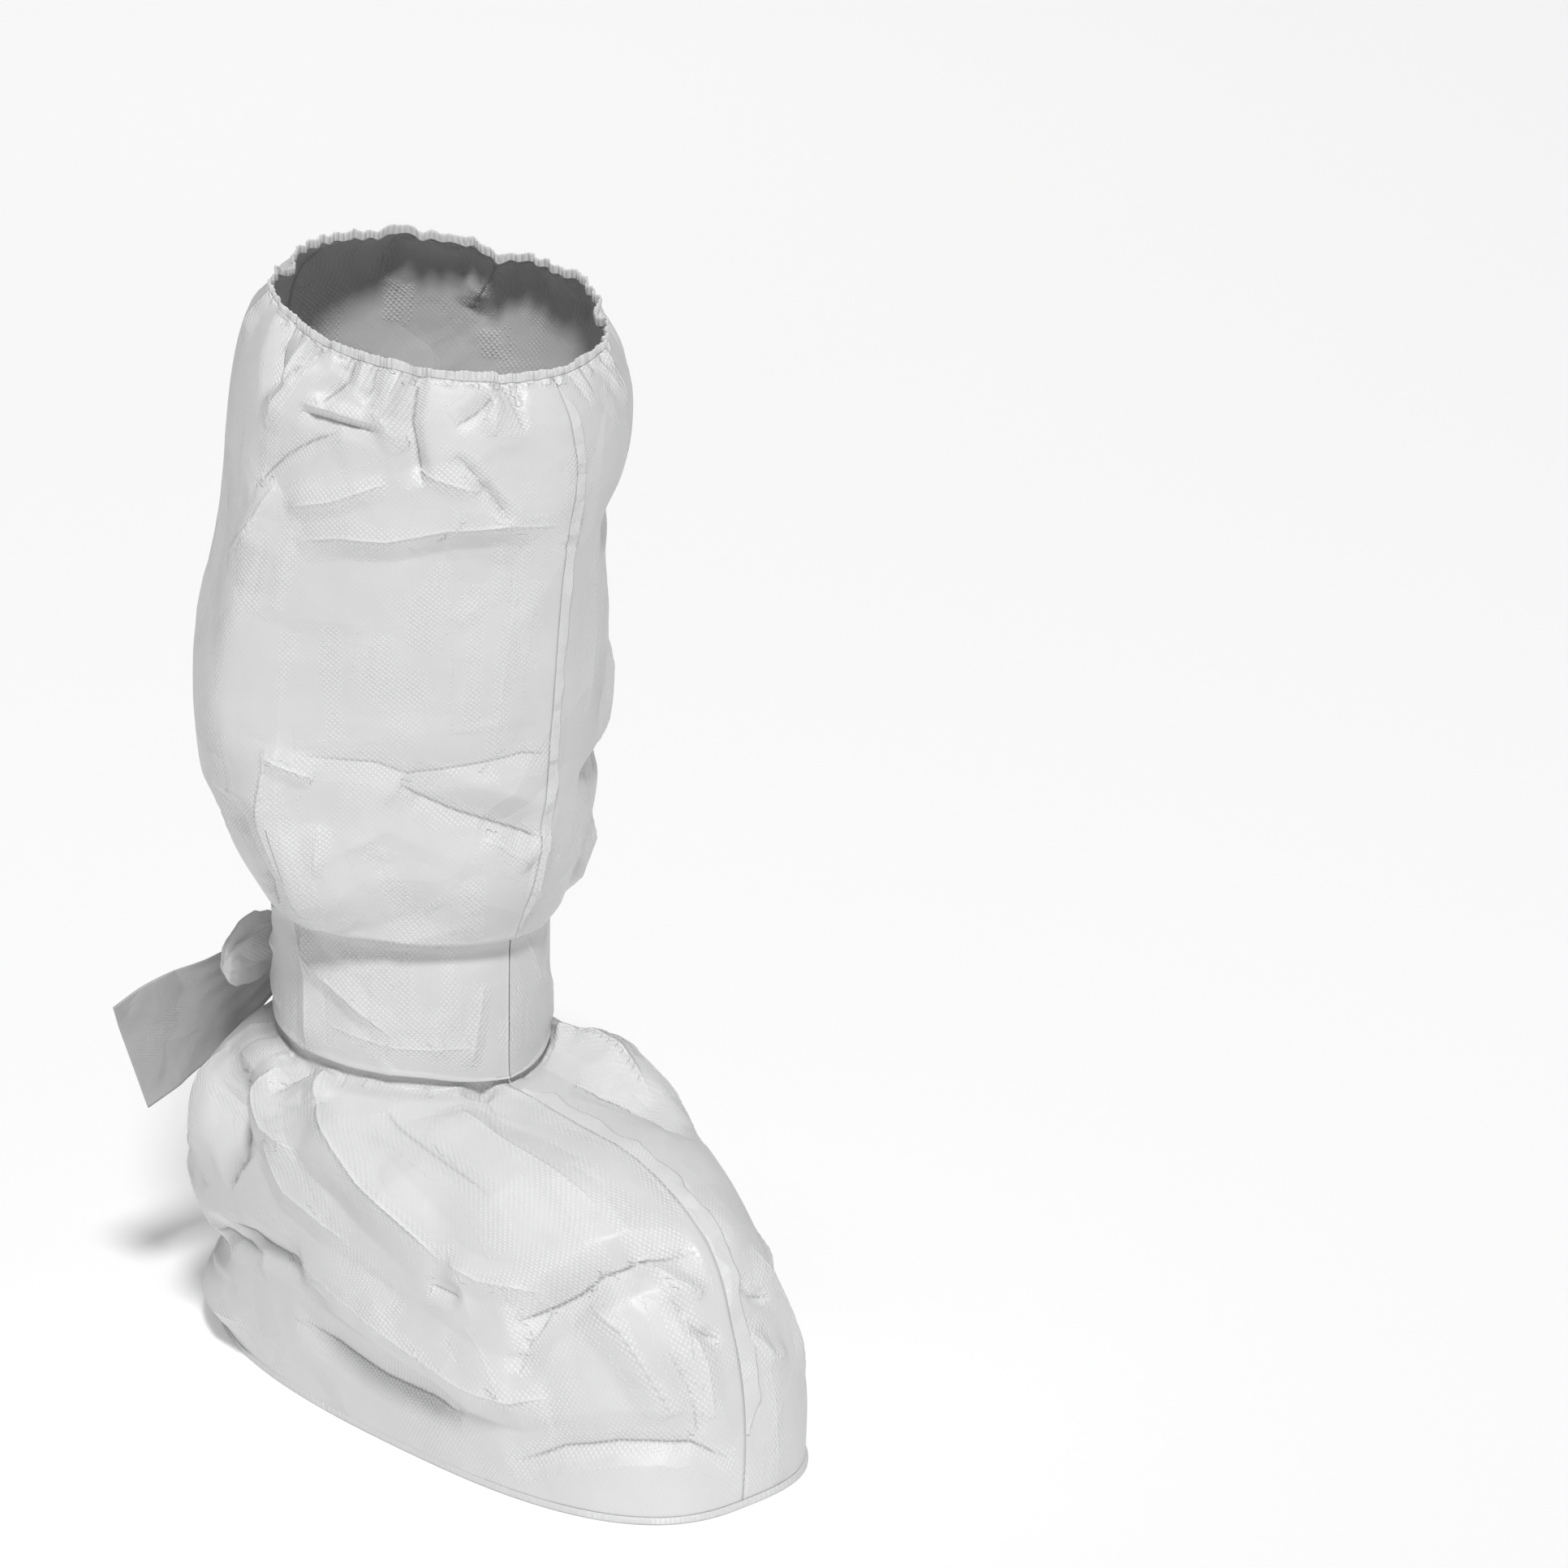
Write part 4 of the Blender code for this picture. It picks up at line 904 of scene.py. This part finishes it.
knot = sheet_from_grid("knot_roll", points, v * KNOT_CLOTH_ROUND, u * KNOT_CLOTH_ALONG, False)
close_doubles(knot)
join_to_part(knot, "tie_knot", KNOT_PAINTED_LIGHT_FILM)

# Tails
# The free ends of the tie leave the knot gathered, open out to the full width of the strip and
# hang, the near one lower, so that it shows behind the ankle.
# The tails' film is much darker than the rest of the laminate: painted shade, for tails that hang in shadow
# behind the ankle
TAIL_PAINTED_SHADE_FILM = film_material("tail_laminate", (0.47, 0.47, 0.474), roughness=0.5, facet_mm=0.7,
                          facets_per_metre=60.0, emboss_mm=0.18, emboss_per_metre=700.0)
TAIL_LINES = 110
TAIL_COLUMNS = 56
# Middle line of each tail: sideways, outwards and down, in shares of the reach, and its width in
# shares of the strip's
TAIL_REACH = 0.080
NEAR_TAIL = ((0.02, 0.00, 0.00, 0.28), (0.12, 0.11, 0.10, 0.36), (0.24, 0.28, 0.27, 0.50),
             (0.40, 0.37, 0.39, 0.70), (0.61, 0.38, 0.46, 0.79), (0.84, 0.38, 0.535, 0.80))
FAR_TAIL = ((0.02, 0.00, 0.00, 0.28), (0.12, 0.10, 0.01, 0.38), (0.26, 0.26, 0.08, 0.58),
            (0.40, 0.33, 0.18, 0.72), (0.58, 0.35, 0.28, 0.78))


def smooth_run(table, steps):
    """Smooth curve through the rows of a short table."""
    table = np.array(table, float)
    places = np.linspace(0, len(table) - 1, steps)
    low = np.clip(places.astype(int), 0, len(table) - 2)
    f = (places - low)[:, None]
    p0 = table[np.clip(low - 1, 0, None)]
    p1 = table[low]
    p2 = table[low + 1]
    p3 = table[np.clip(low + 2, None, len(table) - 1)]
    return ((2 * f**3 - 3 * f**2 + 1) * p1 + (f**3 - 2 * f**2 + f) * (p2 - p0) / 2
            + (3 * f**2 - 2 * f**3) * p2 + (f**3 - f**2) * (p3 - p1) / 2)


# Each tail, with how far below the middle of the knot it starts
for name, table, side, below in (("tie_tail_near", NEAR_TAIL, 1, 5.5 * MM),
                                 ("tie_tail_far", FAR_TAIL, -1, -2.5 * MM)):
    low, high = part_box(name)
    run = smooth_run(table, TAIL_LINES)
    root = np.array([high.x if side > 0 else low.x, low.y + 0.7 * MM,
                     (knot_low.z + knot_high.z) / 2 - below])
    centre = root + np.stack([-side * (run[:, 0] - table[0][0]) * TAIL_REACH, run[:, 1] * TAIL_REACH,
                              -run[:, 2] * TAIL_REACH], axis=-1)
    ahead = np.gradient(centre, axis=0)
    ahead /= np.linalg.norm(ahead, axis=1, keepdims=True)
    up = np.array([0.0, 0.0, 1.0]) - ahead[:, 2:3] * ahead
    up /= np.linalg.norm(up, axis=1, keepdims=True)
    out = np.cross(ahead, up) * (1 if side < 0 else -1)
    along = length_along(centre)
    reach = (along / along[-1])[:, None]
    across = np.linspace(-0.5, 0.5, TAIL_COLUMNS)[None, :]
    width = run[:, 3:4] * TIE_WIDTH
    fan = across * 5.2 + 0.35 * np.sin(4 * reach) + 0.25
    pleats = np.arcsin(np.sin(2 * math.pi * fan) * 0.97) * np.clip(1.0 - reach / 0.55, 0, 1) * 0.9 * MM
    drift = np.arcsin(np.sin(2 * math.pi * (across * 0.5 + 0.6 * reach))) * 0.9 * MM * reach
    cells = (across[0] + 0.6) * TIE_WIDTH
    crackle = wander(rng, along, 0.008)[:, None] * wander(rng, cells, 0.009)[None, :] * 0.3 * MM
    rise = (pleats + drift + crackle) * np.clip(reach / 0.06, 0, 1)
    points = (centre[:, None, :] + up[:, None, :] * (across * width)[:, :, None]
              + out[:, None, :] * rise[:, :, None])
    tail = sheet_from_grid(name + "_strip", points, np.repeat(across * TIE_WIDTH, TAIL_LINES, axis=0),
                           np.repeat(along[:, None], TAIL_COLUMNS, axis=1), False)
    give_thickness(tail, 0.6 * MM, 0.0)
    join_to_part(tail, name, TAIL_PAINTED_SHADE_FILM)

# Floor, light and camera
# A plain near-white floor, a soft high sun from the camera's side with three weak lamps round it,
# and a long lens at the photograph's angle.
bpy.ops.object.select_all(action="DESELECT")
bpy.ops.mesh.primitive_plane_add(size=14.0, location=(0, 0, -0.0005))
floor = bpy.context.active_object
floor.name = "studio_floor"
floor_material = bpy.data.materials.new("floor_white")
floor_material.use_nodes = True
floor_shader = floor_material.node_tree.nodes["Principled BSDF"]
floor_shader.inputs["Base Color"].default_value = (0.96, 0.96, 0.96, 1.0)
floor_shader.inputs["Roughness"].default_value = 0.9
floor_shader.inputs["Emission Color"].default_value = (1.0, 1.0, 1.0, 1.0)
floor_shader.inputs["Emission Strength"].default_value = 0.17
floor.data.materials.append(floor_material)


def soft_lamp(name, place, aim, width, watts):
    """A square soft lamp at a place, turned to its aim."""
    data = bpy.data.lights.new(name, "AREA")
    data.shape = "SQUARE"
    data.size = width
    data.energy = watts
    lamp = bpy.data.objects.new(name, data)
    bpy.context.scene.collection.objects.link(lamp)
    direction = np.array(aim) - np.array(place)
    lamp.location = place
    lamp.rotation_euler = (math.atan2(math.hypot(direction[0], direction[1]), -direction[2]), 0.0,
                           math.atan2(direction[1], direction[0]) - math.pi / 2)


sun_data = bpy.data.lights.new("key_sun", "SUN")
sun_data.energy = 2.28
sun_data.angle = math.radians(10)
sun = bpy.data.objects.new("key_sun", sun_data)
sun.rotation_euler = (math.radians(36), 0.0, math.radians(-38))
bpy.context.scene.collection.objects.link(sun)
LAMP_AIM = (0, 0, 0.2)
soft_lamp("front_lamp", (1.4, -2.6, 1.3), LAMP_AIM, width=1.2, watts=2)
soft_lamp("top_lamp", (-0.4, 0.0, 2.8), LAMP_AIM, width=1.2, watts=10)
soft_lamp("back_lamp", (1.8, 2.4, 1.6), LAMP_AIM, width=1.6, watts=4)
world = bpy.data.worlds.new("studio")
bpy.context.scene.world = world
world.use_nodes = True
backdrop = world.node_tree.nodes["Background"]
backdrop.inputs["Color"].default_value = (1.0, 1.0, 1.0, 1.0)
backdrop.inputs["Strength"].default_value = 0.11
bpy.context.scene.view_settings.view_transform = "Standard"
camera_data = bpy.data.cameras.new("camera")
camera_data.lens = 164.9
camera_data.sensor_width = 36.0
camera_data.sensor_fit = "HORIZONTAL"
camera_data.clip_end = 30.0
camera = bpy.data.objects.new("camera", camera_data)
camera.location = (-1.828, -2.026, 1.155)
camera.rotation_euler = (math.radians(90 - 18.2), 0.0, math.radians(-44.5))
bpy.context.scene.collection.objects.link(camera)
bpy.context.scene.camera = camera
